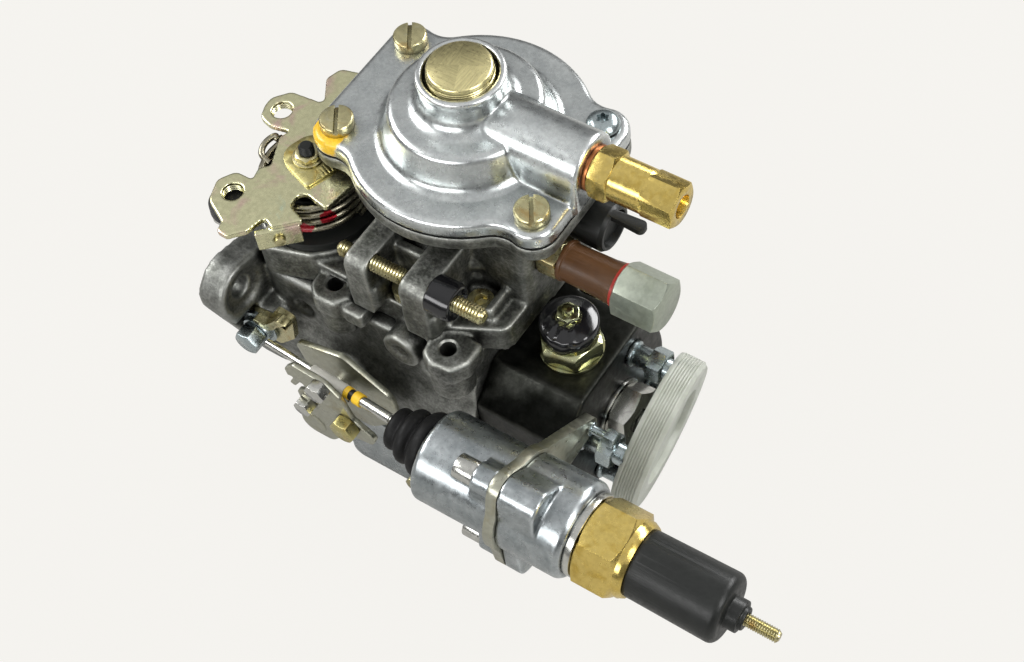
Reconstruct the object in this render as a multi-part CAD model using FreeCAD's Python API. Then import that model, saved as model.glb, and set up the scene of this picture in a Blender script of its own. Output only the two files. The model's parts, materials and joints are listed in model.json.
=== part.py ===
"""Rotary distributor injection pump with boost compensator and cold-start actuator.

All lengths are millimetres. X is the drive axis and points at the distributor head,
Z is up through the boost cap, and the origin is the centre of the pilot spigot on the
mounting face.
"""
import math
import os

import FreeCAD, Part

VEC = FreeCAD.Vector
AXIS = {"x": VEC(1, 0, 0), "y": VEC(0, 1, 0), "z": VEC(0, 0, 1)}
RADIAL = {"x": VEC(0, 0, 1), "y": VEC(1, 0, 0), "z": VEC(1, 0, 0)}
DRIVE = (0, 0)

# Clearances
RUN = 0.05
FREE = 0.4

# Mounting flange with its pilot spigot and three ears, places as (y, z)
FLANGE_THICK = 12.0
FLANGE_HUB_R = 43.0
PILOT_R = 34.0
PILOT_LENGTH = 8.0
SEAL_GROOVE = (-5.0, -3.2)
SEAL_GROOVE_DEPTH = 2.0
SEAL_SQUEEZE = 0.1
EAR_R = 13.0
EAR_HOLE_R = 4.5
EAR_RECESS_R = 9.5
EAR_RECESS = 2.0
EAR_SPREAD = 94.0
EAR_HEIGHT = 42.4
LOWER_EAR_DROP = 63.0
UPPER_EARS = [(-EAR_SPREAD / 2, EAR_HEIGHT), (EAR_SPREAD / 2, EAR_HEIGHT)]
LOWER_EAR = (0, -LOWER_EAR_DROP)

# Housing casting
HEAD_FACE = 108.0
BARREL_R = 40.0
CHAMBER_R = 33.0
CHAMBER_START = 14.0
DECK_Z = 45.0
HOUSING_NEAR_Y = -36.0
HOUSING_FAR_Y = 38.0
CASTING_CORNER_R = 7.0

# Governor chamber that opens upward into the cover
GOV_START = 22.0
GOV_END = 97.0
GOV_NEAR_Y = -20.0
GOV_FAR_Y = 28.0
GOV_CEILING = 56.0
GOV_COVER_START = 15.0

# Timing device, a cross bore under the roller ring
TIMING_X = 58.0
TIMING_Z = -46.0
TIMING_BORE_R = 13.0
TIMING_WALL = 4.0
TIMING_HALF = 37.0
TIMING_PISTON_HALF = 21.0
TIMING_COVER_THICK = 4.0
TIMING_COVER_SIDE = 38.0
TIMING_SPRING_R = 8.0
TIMING_POCKET = 9.5

# Drive shaft and the parts that turn on it
SHAFT_R = 10.0
SHAFT_TAPER_END = -9.0
SHAFT_TAPER_START = -34.0
SHAFT_THREAD_R = 6.0
SHAFT_THREAD_START = -50.0
SHAFT_SEAL_R = 16.0
FRONT_BUSH_R = 12.5
KEY_WIDTH = 4.0
PUMP_RING_START = 15.0
PUMP_RING_END = 27.0
FEED_ROTOR_R = 21.0
FEED_COVER_THICK = 3.5
DRIVE_GEAR_R = 26.0
GEAR_START = 32.0
GEAR_THICK = 5.0

# Governor shaft above the drive
GOV_AXIS_Z = 40.0
GOV_SHAFT_R = 3.5
GOV_GEAR_R = GOV_AXIS_Z - DRIVE_GEAR_R - FREE
CARRIER_R = 13.5
CARRIER_END = 52.0
SLEEVE_R = 6.5
SLEEVE_END = 78.0

# Governor lever and the control collar on the plunger
LEVER_X = 86.5
LEVER_THICK = 3.0
LEVER_PIVOT_Z = 26.0
LEVER_PIN_R = 2.5
FINGER_R = 3.0
COLLAR_R = 9.0
COLLAR_LENGTH = 11.0
BALL_R = 2.5

# Roller ring, cam plate and plunger
RING_THICK = 8.0
RING_BORE_R = 18.0
ROLLER_R = 4.0
CAM_START = 67.0
CAM_THICK = 8.0
CAM_R = 25.0
CAM_STROKE = 2.2
PLUNGER_R = 5.0
PLUNGER_CLEAR = 15.5
PLUNGER_SPRING_Y = 20.0
PLUNGER_SPRING_R = 5.0

# Distributor head
HEAD_R = 36.0
HEAD_END = 147.5
PLUNGER_END = HEAD_END - PLUNGER_CLEAR
HEAD_TOP_Z = 34.0
HEAD_FLANGE_HALF = 35.0
HEAD_FLANGE_THICK = 11.0
HEAD_SLOPE_TOP_Y = -21.0
HEAD_SLOPE_LOW_Z = 20.0
HEAD_SCREW_AT = 28.0
HEAD_SCREW_R = 3.0
PLUG_FLATS = 24.0
PLUG_END = HEAD_END + 10.5
VENT_FLATS = 10.0

# Delivery valve holders on their pitch circle in the head's end face
DELIVERY_PITCH_R = 26.0
DELIVERY_ANGLES = [60, 150, 240, 330]
DELIVERY_RING_R = 5.3
DELIVERY_NECK_R = 4.4
DELIVERY_NECK_END = HEAD_END + 8.3
DELIVERY_FLATS = 12.0
DELIVERY_HEX_END = DELIVERY_NECK_END + 6.4
DELIVERY_TIP_R = 4.2
DELIVERY_TIP_END = DELIVERY_HEX_END + 4.2

# Ribbed protective cap over the delivery holders
DUST_CAP_R = 31.0
DUST_CAP_START = HEAD_END + 13.5
DUST_CAP_END = DUST_CAP_START + 10.6
DUST_CAP_TILT = 9.8
DUST_CAP_SWING = 5.0
DUST_CAP_WALL = 2.2
DUST_CAP_RIB = 0.5
DUST_CAP_RIBS = 8
DUST_CAP_DISH_R = 20.0

# Shut-off solenoid on the head, place as (x, y)
SOLENOID_AT = (131.5, -3.0)
SOLENOID_FLATS = 22.0
SOLENOID_SEAT_R = 12.3
SOLENOID_BODY_R = 10.9
SOLENOID_TOP = 53.0
SOLENOID_BORE_R = 4.0
SOLENOID_STROKE = 1.2

# Boost cap, place as (x, y)
CAP_AT = (79.0, 20.4)
CAP_R = 45.0
LOBE_X = 41.6
LOBE_Y = 22.85
LOBE_R = 9.5
LOBE_FILLET_R = 11.0
CAP_TOP_Z = 106.75
CAP_THICK = 7.0
CAP_ROUND = 2.4
BEAD_ROUND = 1.0
DIAPHRAGM_THICK = 0.5
COVER_FLANGE_THICK = 6.5
DOME_BASE_R = 35.0
SHOULDER_R = 28.2
SHOULDER_Z = 120.65
NECK_R = 15.6
RIM_R = 16.1
RIM_Z = 135.5
RIM_BORE_R = 13.4
PLUG_R = 11.9
PLUG_TOP_Z = 138.1
PLUG_SEAT_Z = 125.0
PORT_AT = (CAP_AT[1], 114.8)
PORT_BOSS_R = 12.5
PORT_END = 131.6
PORT_BORE_R = 5.0
CAP_SCREW_R = 3.0
CAP_SCREW_HEAD_R = 6.3
CAP_SCREW_HEAD = 4.4
CAP_CAVITY_R = 23.0

# Boost pin in the cover
BOOST_PIN_R = 5.0
BOOST_PIN_LOW = 48.0
BOOST_PLATE_R = 20.0
BOOST_SPRING_R = 13.0
BOOST_CHAMBER_Z = 70.0

# Governor cover
COVER_DECK_Z = 58.0
COVER_NECK_R = 31.0
COVER_REAR_X = 119.0
BOSS_TOP_Z = 55.0
BOSSES = [(48.0, -33.5), (101.2, -36.3)]
BOSS_R = 8.5
BOSS_HOLE_R = 3.3
COVER_SCREWS = [(103.4, -16.9), (20.0, 32.0), (102.0, 33.0), (76.0, -25.5)]
COVER_SCREW_R = 3.0
COVER_SCREW_HEAD_R = 5.0
STOP_EARS = [(59.0, 69.0), (83.0, 95.0)]
STOP_EAR_RISE = 3.6
COVER_TUBE_AT = (81.0, 43.0)
COVER_TUBE_R = 8.0
COVER_TUBE_END = -41.0
COVER_TUBE_BORE_R = 3.6
COVER_LUG_AT = (59.5, -36.0)
COVER_LUG_HALF = 4.6
STOP_EAR_NEAR_Y = -37.0

# Full-load stop screw through both ears, place as (y, z)
STOP_AT = (-31.0, 78.6)
STOP_R = 3.0
STOP_START = 53.5
STOP_END = 116.7
STOP_COLLAR_R = 6.3

# Throttle shaft and lever, place as (x, y)
THROTTLE_AT = (25.4, -9.4)
THROTTLE_SHAFT_R = 6.0
THROTTLE_FOOT_Z = 53.6
THROTTLE_BOSS_R = 14.5
SEAT_R = 23.0
SEAT_Z = 62.0
LEVER_Z = 86.0
LEVER_PLATE = 2.5
SCALE_THICK = 1.2
THROTTLE_WASHER = 0.6
THROTTLE_NUT = 2.2
THROTTLE_TIP_Z = 96.2
LEVER_EYES = [(9.9, -35.6), (1.9, 4.6)]
LEVER_EYE_R = 4.0
RETURN_COIL_R = 19.5
RETURN_WIRE_R = 1.25
RETURN_TURNS = 4
THROTTLE_NUT_FLATS = 9.0
TAB_AT = (33.5, -40.2)
TAB_TURN = -46.0
TAB_HALF = 8.3
TAB_THICK = 2.5
TAB_DROP = 8.5
TAB_BOLT_Z = 81.5
TAB_BOLT_REACH = 1.4
TAB_BOLT_R = 2.0
TAB_BOLT_FLATS = 8.0

# Fittings in the cover's rear face, places as (y, z)
RETURN_AT = (4.5, 78.0)
RETURN_FLATS = 18.5
RETURN_SLEEVE_LENGTH = 32.0
RETURN_CAP_LENGTH = 18.0
ADJUSTER_AT = (22.2, 81.9)
ADJUSTER_R = 9.6
ADJUSTER_LENGTH = 18.0

# Cold-start actuator, place as (y, z)
ACTUATOR_AT = (-66.2, 35.4)
ACTUATOR_R = 18.7
ACTUATOR_BODY_R = 17.8
ACTUATOR_START = 114.0
CLAMP_THICK = 4.2
ACTUATOR_END = HEAD_END + 29.5
BRASS_FLATS = 30.0
BRASS_WASHER_R = 16.0
BRASS_SPIGOT_R = 8.0
BRASS_START = ACTUATOR_END + 3.0
BRASS_END = BRASS_START + 19.5
HEATER_R = 13.1
HEATER_END = BRASS_END + 35.0
HEATER_STUD_R = 2.5
HEATER_STUD_END = HEATER_END + 18.5
CLAMP_SCREW_AT = (-23.4, 22.9)
CLAMP_SCREW_R = 1.7
CLAMP_SCREW_FLATS = 6.4
CLAMP_SCREW_NECK = 6.5
CLAMP_TIP_R = 4.3
CLAMP_BOLTS = [(-74.0, 54.0), (-75.5, 14.5)]
CLAMP_BOLT_R = 2.5
CLAMP_EAR_R = 7.0
CLAMP_LOBE_DEPTH = (15.0, 7.0)

# Cold-start lever and its push rod
COLD_PIVOT = (50.0, 2.0)
COLD_SHAFT_R = 5.0
COLD_BOSS_R = 11.0
COLD_BOSS_Y = -43.5
COLD_PLATE = 2.5
INNER_PLATE_Y = -47.0
OUTER_PLATE_Y = -62.5
ROD_R = 1.6
ROD_START = (24.0, -54.0, 24.0)
ROD_END = (119.0, -64.5, 34.5)
ROD_SLEEVE = (25.0, 43.0)
COLD_BOLTS = [(61.0, 36.5, 8.0), (51.2, 18.7, 7.0), (69.6, 16.9, 10.0)]
ROD_SLEEVE_R = 2.5
BOOT_AT = (-64.2, 34.0)
BRACKET_BOLT_AT = (14.5, 20.0)
BRACKET_RELIEF = 6.5

# Casting that the distributor head and the cover share
OVERLAP = 1.0


def point(axis, along, at):
    """World point at a distance along an axis, with the two other coordinates in order."""
    if axis == "x":
        return VEC(along, at[0], at[1])
    if axis == "y":
        return VEC(at[0], along, at[1])
    return VEC(at[0], at[1], along)


def rod(axis, at, start, end, radius):
    """Plain cylinder between two places on an axis."""
    low = min(start, end)
    return Part.makeCylinder(radius, abs(end - start), point(axis, low, at), AXIS[axis])


def tube(axis, at, start, end, radius, bore):
    return rod(axis, at, start, end, radius).cut(rod(axis, at, start, end, bore))


def block(x0, x1, y0, y1, z0, z1):
    return Part.makeBox(x1 - x0, y1 - y0, z1 - z0, VEC(x0, y0, z0))


def fused(*shapes):
    return shapes[0].multiFuse(list(shapes[1:])).removeSplitter()


def turned(axis, at, profile):
    """Solid of revolution from (radius, along) points; a third item marks an arc's middle."""
    def place(item):
        return point(axis, item[1], at) + RADIAL[axis] * item[0]

    edges = []
    points = list(profile) + [profile[0]]
    i = 0
    while i < len(points) - 1:
        if len(points[i + 1]) == 3:
            arc = Part.Arc(place(points[i]), place(points[i + 1]), place(points[i + 2]))
            edges.append(arc.toShape())
            i += 2
        else:
            edges.append(Part.LineSegment(place(points[i]), place(points[i + 1])).toShape())
            i += 1
    face = Part.Face(Part.Wire(edges))
    return face.revolve(point(axis, 0, at), AXIS[axis], 360)


def prism(axis, at, start, end, flats, turn=0.0):
    """Hexagon across its flats, between two places on an axis."""
    radius = flats / 2 / math.cos(math.pi / 6)
    corners = []
    for k in range(6):
        angle = math.radians(turn + 60 * k)
        spot = (at[0] + radius * math.cos(angle), at[1] + radius * math.sin(angle))
        corners.append(point(axis, start, spot))
    face = Part.Face(Part.makePolygon(corners + [corners[0]]))
    return face.extrude(AXIS[axis] * (end - start))


def hexagon(axis, at, start, end, flats, turn=0.0, both=True):
    """Hexagon with its corners turned off at the far end, or at both."""
    corner = flats / 2 / math.cos(math.pi / 6) + 0.01
    inner = flats / 2 * 0.97
    slope = (corner - inner) * 0.6 * (1 if end > start else -1)
    profile = [(0, start), (inner, start), (corner, start + slope), (corner, end - slope),
               (inner, end), (0, end)]
    if not both:
        profile[1] = (corner, start)
        profile[2] = (corner, (start + end) / 2)
    return prism(axis, at, start, end, flats, turn).common(turned(axis, at, profile))


def rounded(points, z0, z1):
    """Upright plate from (x, y, corner radius) points, its corners true arcs."""
    edges = []
    cuts = []
    count = len(points)
    for i in range(count):
        x, y, r = points[i]
        here = VEC(x, y, z0)
        before = VEC(points[i - 1][0], points[i - 1][1], z0) - here
        after = VEC(points[(i + 1) % count][0], points[(i + 1) % count][1], z0) - here
        if r == 0:
            cuts.append((here, None, here))
            continue
        before.normalize()
        after.normalize()
        half = before.getAngle(after) / 2
        reach = r / math.tan(half)
        middle = before + after
        middle.normalize()
        centre = here + middle * (r / math.sin(half))
        cuts.append((here + before * reach, centre - middle * r, here + after * reach))
    for i in range(count):
        start, middle, end = cuts[i]
        if middle is not None:
            edges.append(Part.Arc(start, middle, end).toShape())
        following = cuts[(i + 1) % count][0]
        if (following - end).Length > 1e-6:
            edges.append(Part.LineSegment(end, following).toShape())
    return Part.Face(Part.Wire(edges)).extrude(VEC(0, 0, z1 - z0))


def web(first, first_r, second, second_r, x0, x1):
    """Plate in the YZ plane between two circles, along their outer tangents."""
    dy = second[0] - first[0]
    dz = second[1] - first[1]
    lean = math.acos((first_r - second_r) / math.hypot(dy, dz))
    aim = math.atan2(dz, dy)
    corners = []
    for centre, radius, sides in ((first, first_r, (1, -1)), (second, second_r, (-1, 1))):
        for side in sides:
            angle = aim + side * lean
            spot = (centre[0] + radius * math.cos(angle), centre[1] + radius * math.sin(angle))
            corners.append(point("x", x0, spot))
    face = Part.Face(Part.makePolygon(corners + [corners[0]]))
    return face.extrude(VEC(x1 - x0, 0, 0))


def softened(shape, radius, wanted):
    """Shape with the edges that the test picks rounded off."""
    return shape.makeFillet(radius, [edge for edge in shape.Edges if wanted(edge)])


def level(edge, z):
    """True where a whole edge lies at one height."""
    return all(abs(vertex.Point.z - z) < 1e-4 for vertex in edge.Vertexes)


def upright(edge):
    """True where a straight edge stands along Z."""
    low = edge.BoundBox
    return low.XLength < 1e-4 and low.YLength < 1e-4


PIECES = {}


def add(node, *solids):
    """Put solids in a node; like fasteners and small inner pieces share one."""
    PIECES.setdefault(node, []).extend(solids)


def write_pieces():
    os.makedirs("parts", exist_ok=True)
    for node, solids in PIECES.items():
        shape = solids[0] if len(solids) == 1 else Part.makeCompound(solids)
        shape.exportStep("parts/" + node + ".step")


def coil(at, start, end, radius, wire, turns, sides=6):
    """Wire of many-sided section wound as a helix, standing up from its start."""
    pitch = (end - start - 2 * wire) / turns
    path = Part.makeHelix(pitch, pitch * turns, radius)
    corners = []
    for k in range(sides):
        angle = 2 * math.pi * (k + 0.5) / sides
        corners.append(VEC(radius + wire * math.cos(angle), 0, wire * math.sin(angle)))
    section = Part.makePolygon(corners + [corners[0]])
    body = Part.Wire(path).makePipeShell([section], True, True)
    body.translate(VEC(at[0], at[1], start + wire))
    return body


def cap_outline(inset, z0, z1):
    """Round flange with four screw lobes, each pair joined by a straight side."""
    big = CAP_R - inset
    lobe = LOBE_R - inset
    fillet = LOBE_FILLET_R + inset
    reach = math.hypot(LOBE_X, LOBE_Y)
    aim = math.atan2(LOBE_Y, LOBE_X)
    side_a = big + fillet
    side_b = lobe + fillet
    cosine = (side_a ** 2 + reach ** 2 - side_b ** 2) / (2 * side_a * reach)
    turn = aim + math.acos(cosine)
    hollow = VEC(side_a * math.cos(turn), side_a * math.sin(turn), 0)
    centre = VEC(LOBE_X, LOBE_Y, 0)
    toward = hollow - centre
    toward.normalize()
    lobe_end = centre + toward * lobe
    inward = hollow * (big / side_a)
    hollow_mid = centre + toward * lobe + inward
    back = hollow_mid * 0.5 - hollow
    back.normalize()
    hollow_mid = hollow + back * fillet
    lobe_mid = VEC(1, 0, 0) + toward
    lobe_mid.normalize()
    lobe_mid = centre + lobe_mid * lobe
    lobe_start = VEC(LOBE_X + lobe, LOBE_Y, 0)

    def corner(sx, sy):
        return [VEC(p.x * sx, p.y * sy, 0) for p in
                (lobe_start, lobe_mid, lobe_end, hollow_mid, inward)]

    edges = []
    for sy in (1, -1):
        right = corner(1, sy)
        left = corner(-1, sy)
        for side in (right, left):
            edges.append(Part.Arc(side[0], side[1], side[2]).toShape())
            edges.append(Part.Arc(side[2], side[3], side[4]).toShape())
        edges.append(Part.Arc(right[4], VEC(0, big * sy, 0), left[4]).toShape())
    for sx in (1, -1):
        top = corner(sx, 1)[0]
        bottom = corner(sx, -1)[0]
        edges.append(Part.LineSegment(top, bottom).toShape())
    wire = Part.Wire(Part.__sortEdges__(edges))
    wire.translate(VEC(CAP_AT[0], CAP_AT[1], z0))
    return Part.Face(wire).extrude(VEC(0, 0, z1 - z0))


def cap_screw_places():
    places = []
    for sx, sy in ((-1, 1), (-1, -1), (1, -1), (1, 1)):
        places.append((CAP_AT[0] + sx * LOBE_X, CAP_AT[1] + sy * LOBE_Y))
    return places


def delivery_places():
    places = []
    for angle in DELIVERY_ANGLES:
        turn = math.radians(angle)
        places.append((DELIVERY_PITCH_R * math.cos(turn), DELIVERY_PITCH_R * math.sin(turn)))
    return places


def mounting_flange():
    """Flange hub, three ears with recessed holes, and the pilot spigot."""
    solids = [rod("x", DRIVE, 0, FLANGE_THICK, FLANGE_HUB_R)]
    for ear in UPPER_EARS + [LOWER_EAR]:
        solids.append(web(DRIVE, FLANGE_HUB_R, ear, EAR_R, 0, FLANGE_THICK))
        solids.append(rod("x", ear, 0, FLANGE_THICK, EAR_R))
    solids.append(rod("x", DRIVE, -PILOT_LENGTH, 0, PILOT_R))
    flange = fused(*solids)
    for ear in UPPER_EARS + [LOWER_EAR]:
        flange = flange.cut(rod("x", ear, FLANGE_THICK - EAR_RECESS, FLANGE_THICK, EAR_RECESS_R))
        flange = flange.cut(rod("x", ear, 0, FLANGE_THICK, EAR_HOLE_R))
    return flange


def housing_castings():
    """Outside of the housing before its bores are cut."""
    barrel = rod("x", DRIVE, FLANGE_THICK - OVERLAP, HEAD_FACE, BARREL_R)
    box = block(FLANGE_THICK - OVERLAP, HEAD_FACE, HOUSING_NEAR_Y, HOUSING_FAR_Y, 0, DECK_Z)
    box = softened(box, CASTING_CORNER_R, upright)
    half = HEAD_FLANGE_HALF
    pad = block(HEAD_FACE - 9, HEAD_FACE, -half, half, -half, half)
    corners = rod("x", DRIVE, HEAD_FACE - 9, HEAD_FACE, half * 1.27)
    pad = pad.common(corners)
    outer_r = TIMING_BORE_R + TIMING_WALL
    timing = rod("y", (TIMING_X, TIMING_Z), -TIMING_HALF, TIMING_HALF, outer_r)
    half = TIMING_COVER_SIDE / 2
    ends = []
    for start, end in ((-TIMING_HALF, -TIMING_HALF + 6), (TIMING_HALF - 6, TIMING_HALF)):
        face = block(TIMING_X - half, TIMING_X + half, start, end,
                     TIMING_Z - half, TIMING_Z + half)
        ends.append(face)
    saddle = block(TIMING_X - outer_r, TIMING_X + outer_r, -20, 20, TIMING_Z, -20)
    cold = rod("y", COLD_PIVOT, COLD_BOSS_Y, -CHAMBER_R, COLD_BOSS_R)
    bracket = rod("y", BRACKET_BOLT_AT, -44.0, -30.0, 8.0)
    return fused(barrel, box, pad, timing, saddle, cold, bracket, *ends)


def pump_housing():
    """Main casting: flange, chambers, timing bore and the seats of what bolts on."""
    body = fused(mounting_flange(), housing_castings())
    cuts = [
        rod("x", DRIVE, CHAMBER_START, HEAD_FACE, CHAMBER_R),
        rod("x", DRIVE, -PILOT_LENGTH, 4, SHAFT_SEAL_R),
        rod("x", DRIVE, 4, CHAMBER_START, FRONT_BUSH_R),
        block(GOV_START, GOV_END, GOV_NEAR_Y, GOV_FAR_Y, 0, DECK_Z),
        rod("x", (0, GOV_AXIS_Z), GOV_START - 8, GOV_START, GOV_SHAFT_R),
        rod("y", lever_pivot(), GOV_NEAR_Y - 2, GOV_FAR_Y + 2, LEVER_PIN_R),
        rod("y", (TIMING_X, TIMING_Z), -TIMING_HALF, TIMING_HALF, TIMING_BORE_R),
        block(TIMING_X - 5, TIMING_X + 5, -12, 12, TIMING_Z, -CHAMBER_R + 2),
        rod("y", COLD_PIVOT, COLD_BOSS_Y, -20, COLD_SHAFT_R + RUN),
        rod("y", BRACKET_BOLT_AT, -44.0, -32.0, 3.0),
        tube("x", DRIVE, *SEAL_GROOVE, PILOT_R, PILOT_R - SEAL_GROOVE_DEPTH),
        block(FLANGE_THICK - BRACKET_RELIEF, FLANGE_THICK, -60, -43.6, 10, 29),
    ]
    for x, y in COVER_SCREWS:
        cuts.append(rod("z", (x, y), DECK_Z - 10, DECK_Z, COVER_SCREW_R))
    for y, z in head_screw_places():
        cuts.append(rod("x", (y, z), HEAD_FACE - 9, HEAD_FACE, HEAD_SCREW_R))
    for x, z in timing_screw_places():
        cuts.append(rod("y", (x, z), -TIMING_HALF, -TIMING_HALF + 6, 2.5))
        cuts.append(rod("y", (x, z), TIMING_HALF - 6, TIMING_HALF, 2.5))
    for x, z, turn in ((90.7, 30.5, 0), (76.2, 38.5, 0), (29.0, 28.0, 0)):
        cuts.append(rod("y", (x, z), HOUSING_NEAR_Y, HOUSING_NEAR_Y + 3, 4.2))
    return body.cut(Part.makeCompound(cuts))


def lever_pivot():
    """Axis of the governor lever's pin, as (x, z)."""
    return (LEVER_X + LEVER_THICK / 2, LEVER_PIVOT_Z)


def head_screw_places():
    """Three corners of the head's flange; the fourth one slopes away."""
    return [(sy * HEAD_SCREW_AT, sz * HEAD_SCREW_AT) for sy, sz in ((1, 1), (1, -1), (-1, -1))]


def across(x0, x1, outline):
    """Solid along X from (y, z) points."""
    corners = [VEC(x0, y, z) for y, z in outline]
    face = Part.Face(Part.makePolygon(corners + [corners[0]]))
    return face.extrude(VEC(x1 - x0, 0, 0))


def timing_screw_places():
    offset = TIMING_COVER_SIDE / 2 - 4.5
    return [(TIMING_X + sx * offset, TIMING_Z - sx * offset) for sx in (1, -1)]


def governor_cover():
    """Cover casting with its deck, neck, ears, bosses and the lower half of the cap's flange."""
    flange_low = CAP_TOP_Z - CAP_THICK - DIAPHRAGM_THICK - COVER_FLANGE_THICK
    flange_top = flange_low + COVER_FLANGE_THICK
    front = FLANGE_THICK + FREE
    rear_x = COVER_REAR_X
    near = HOUSING_NEAR_Y
    deck = rounded([(front, near - 3, 6), (38, near + 5, 6), (rear_x - 23, near + 5, 4),
                    (rear_x - 2, near + 15, 5), (rear_x, 40, 8), (rear_x - 29, 44, 6),
                    (18, 44, 5), (front, 26, 5)], DECK_Z, COVER_DECK_Z)
    nose = rounded([(front, -39, 5), (38, -31, 4), (40, -22, 4), (front + 2, -24, 5)],
                   COVER_DECK_Z, SEAT_Z)
    boss = rod("z", THROTTLE_AT, COVER_DECK_Z, SEAT_Z + 20, THROTTLE_BOSS_R - 1.5)
    platform = rod("z", THROTTLE_AT, COVER_DECK_Z, SEAT_Z, SEAT_R + 1)
    neck = rod("z", CAP_AT, COVER_DECK_Z, flange_low, COVER_NECK_R)
    cone = turned("z", CAP_AT, [(0, flange_low - 9), (COVER_NECK_R, flange_low - 9),
                                (40, flange_low), (0, flange_low)])
    rear = rounded([(92, -8, 3), (COVER_REAR_X, -8, 4), (COVER_REAR_X, 34, 4), (92, 34, 3)],
                   COVER_DECK_Z, flange_low)
    flange = cap_outline(0, flange_low, flange_top)
    flange = softened(flange, 1.2, lambda edge: level(edge, flange_low))
    flange = softened(flange, BEAD_ROUND, lambda edge: level(edge, flange_top))
    solids = [deck, nose, boss, platform, neck, cone, rear, flange]
    solids += stop_ears()
    for x, y in BOSSES:
        solids.append(rod("z", (x, y), DECK_Z - 12, BOSS_TOP_Z, BOSS_R))
    solids += side_bosses()
    body = fused(*solids)
    cuts = [
        rod("y", COVER_TUBE_AT, COVER_TUBE_END, COVER_TUBE_END + 9, COVER_TUBE_BORE_R),
        block(GOV_COVER_START, GOV_END, GOV_NEAR_Y, GOV_FAR_Y, DECK_Z, GOV_CEILING),
        block(11, HEAD_FACE, HOUSING_NEAR_Y, HOUSING_FAR_Y, DECK_Z - 13, DECK_Z),
        rod("z", THROTTLE_AT, DECK_Z, SEAT_Z + 20, THROTTLE_SHAFT_R + RUN),
        rod("z", CAP_AT, DECK_Z, flange_top, BOOST_PIN_R + RUN),
        rod("z", CAP_AT, BOOST_CHAMBER_Z, flange_top, CAP_CAVITY_R),
        rod("x", STOP_AT, STOP_EARS[0][0], STOP_EARS[1][1], STOP_R),
        rod("x", RETURN_AT, COVER_REAR_X - 8, COVER_REAR_X, 6.0),
        rod("x", ADJUSTER_AT, COVER_REAR_X - 12, COVER_REAR_X, 5.0),
    ]
    for x, y in BOSSES:
        cuts.append(rod("z", (x, y), BOSS_TOP_Z - 14, BOSS_TOP_Z, BOSS_HOLE_R))
    for x, y in COVER_SCREWS:
        cuts.append(rod("z", (x, y), DECK_Z, COVER_DECK_Z, COVER_SCREW_R))
        cuts.append(rod("z", (x, y), COVER_DECK_Z, flange_low, COVER_SCREW_HEAD_R + 1.2))
    for at in cap_screw_places():
        cuts.append(rod("z", at, flange_low, flange_top, CAP_SCREW_R))
    return body.cut(Part.makeCompound(cuts))


def side_bosses():
    """Lying tube boss and square lug on the cover's near side, and the ledge by the neck."""
    pipe = rod("y", COVER_TUBE_AT, COVER_TUBE_END, GOV_NEAR_Y - 2, COVER_TUBE_R)
    pipe = softened(pipe, 1.0, lambda edge: abs(edge.BoundBox.YMin - COVER_TUBE_END) < 1e-4 and
                    edge.BoundBox.YLength < 1e-4)
    x, y = COVER_LUG_AT
    lug = rounded([(x - COVER_LUG_HALF, y - COVER_LUG_HALF, 1.5),
                   (x + COVER_LUG_HALF, y - COVER_LUG_HALF, 1.5),
                   (x + COVER_LUG_HALF, y + 8, 0), (x - COVER_LUG_HALF, y + 8, 0)],
                  DECK_Z, DECK_Z + 7)
    ledge = turned("z", CAP_AT, [(0, COVER_DECK_Z), (COVER_NECK_R + 4, COVER_DECK_Z),
                                 (COVER_NECK_R + 4, COVER_DECK_Z + 5),
                                 (COVER_NECK_R, COVER_DECK_Z + 9), (0, COVER_DECK_Z + 9)])
    return [pipe, lug, ledge]


def stop_ears():
    """Two upright ribs that carry the full-load stop screw."""
    ears = []
    for start, end in STOP_EARS:
        rib = block(start, end, STOP_EAR_NEAR_Y, 2, COVER_DECK_Z - 4, STOP_AT[1] + STOP_EAR_RISE)
        rib = softened(rib, 4.0, lambda edge: edge.BoundBox.YLength < 1e-4 and
                       abs(edge.BoundBox.YMin - STOP_EAR_NEAR_Y) < 1e-4 and
                       edge.BoundBox.ZLength < 1e-4 and edge.BoundBox.ZMin > STOP_AT[1])
        ears.append(rib)
    return ears


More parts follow.
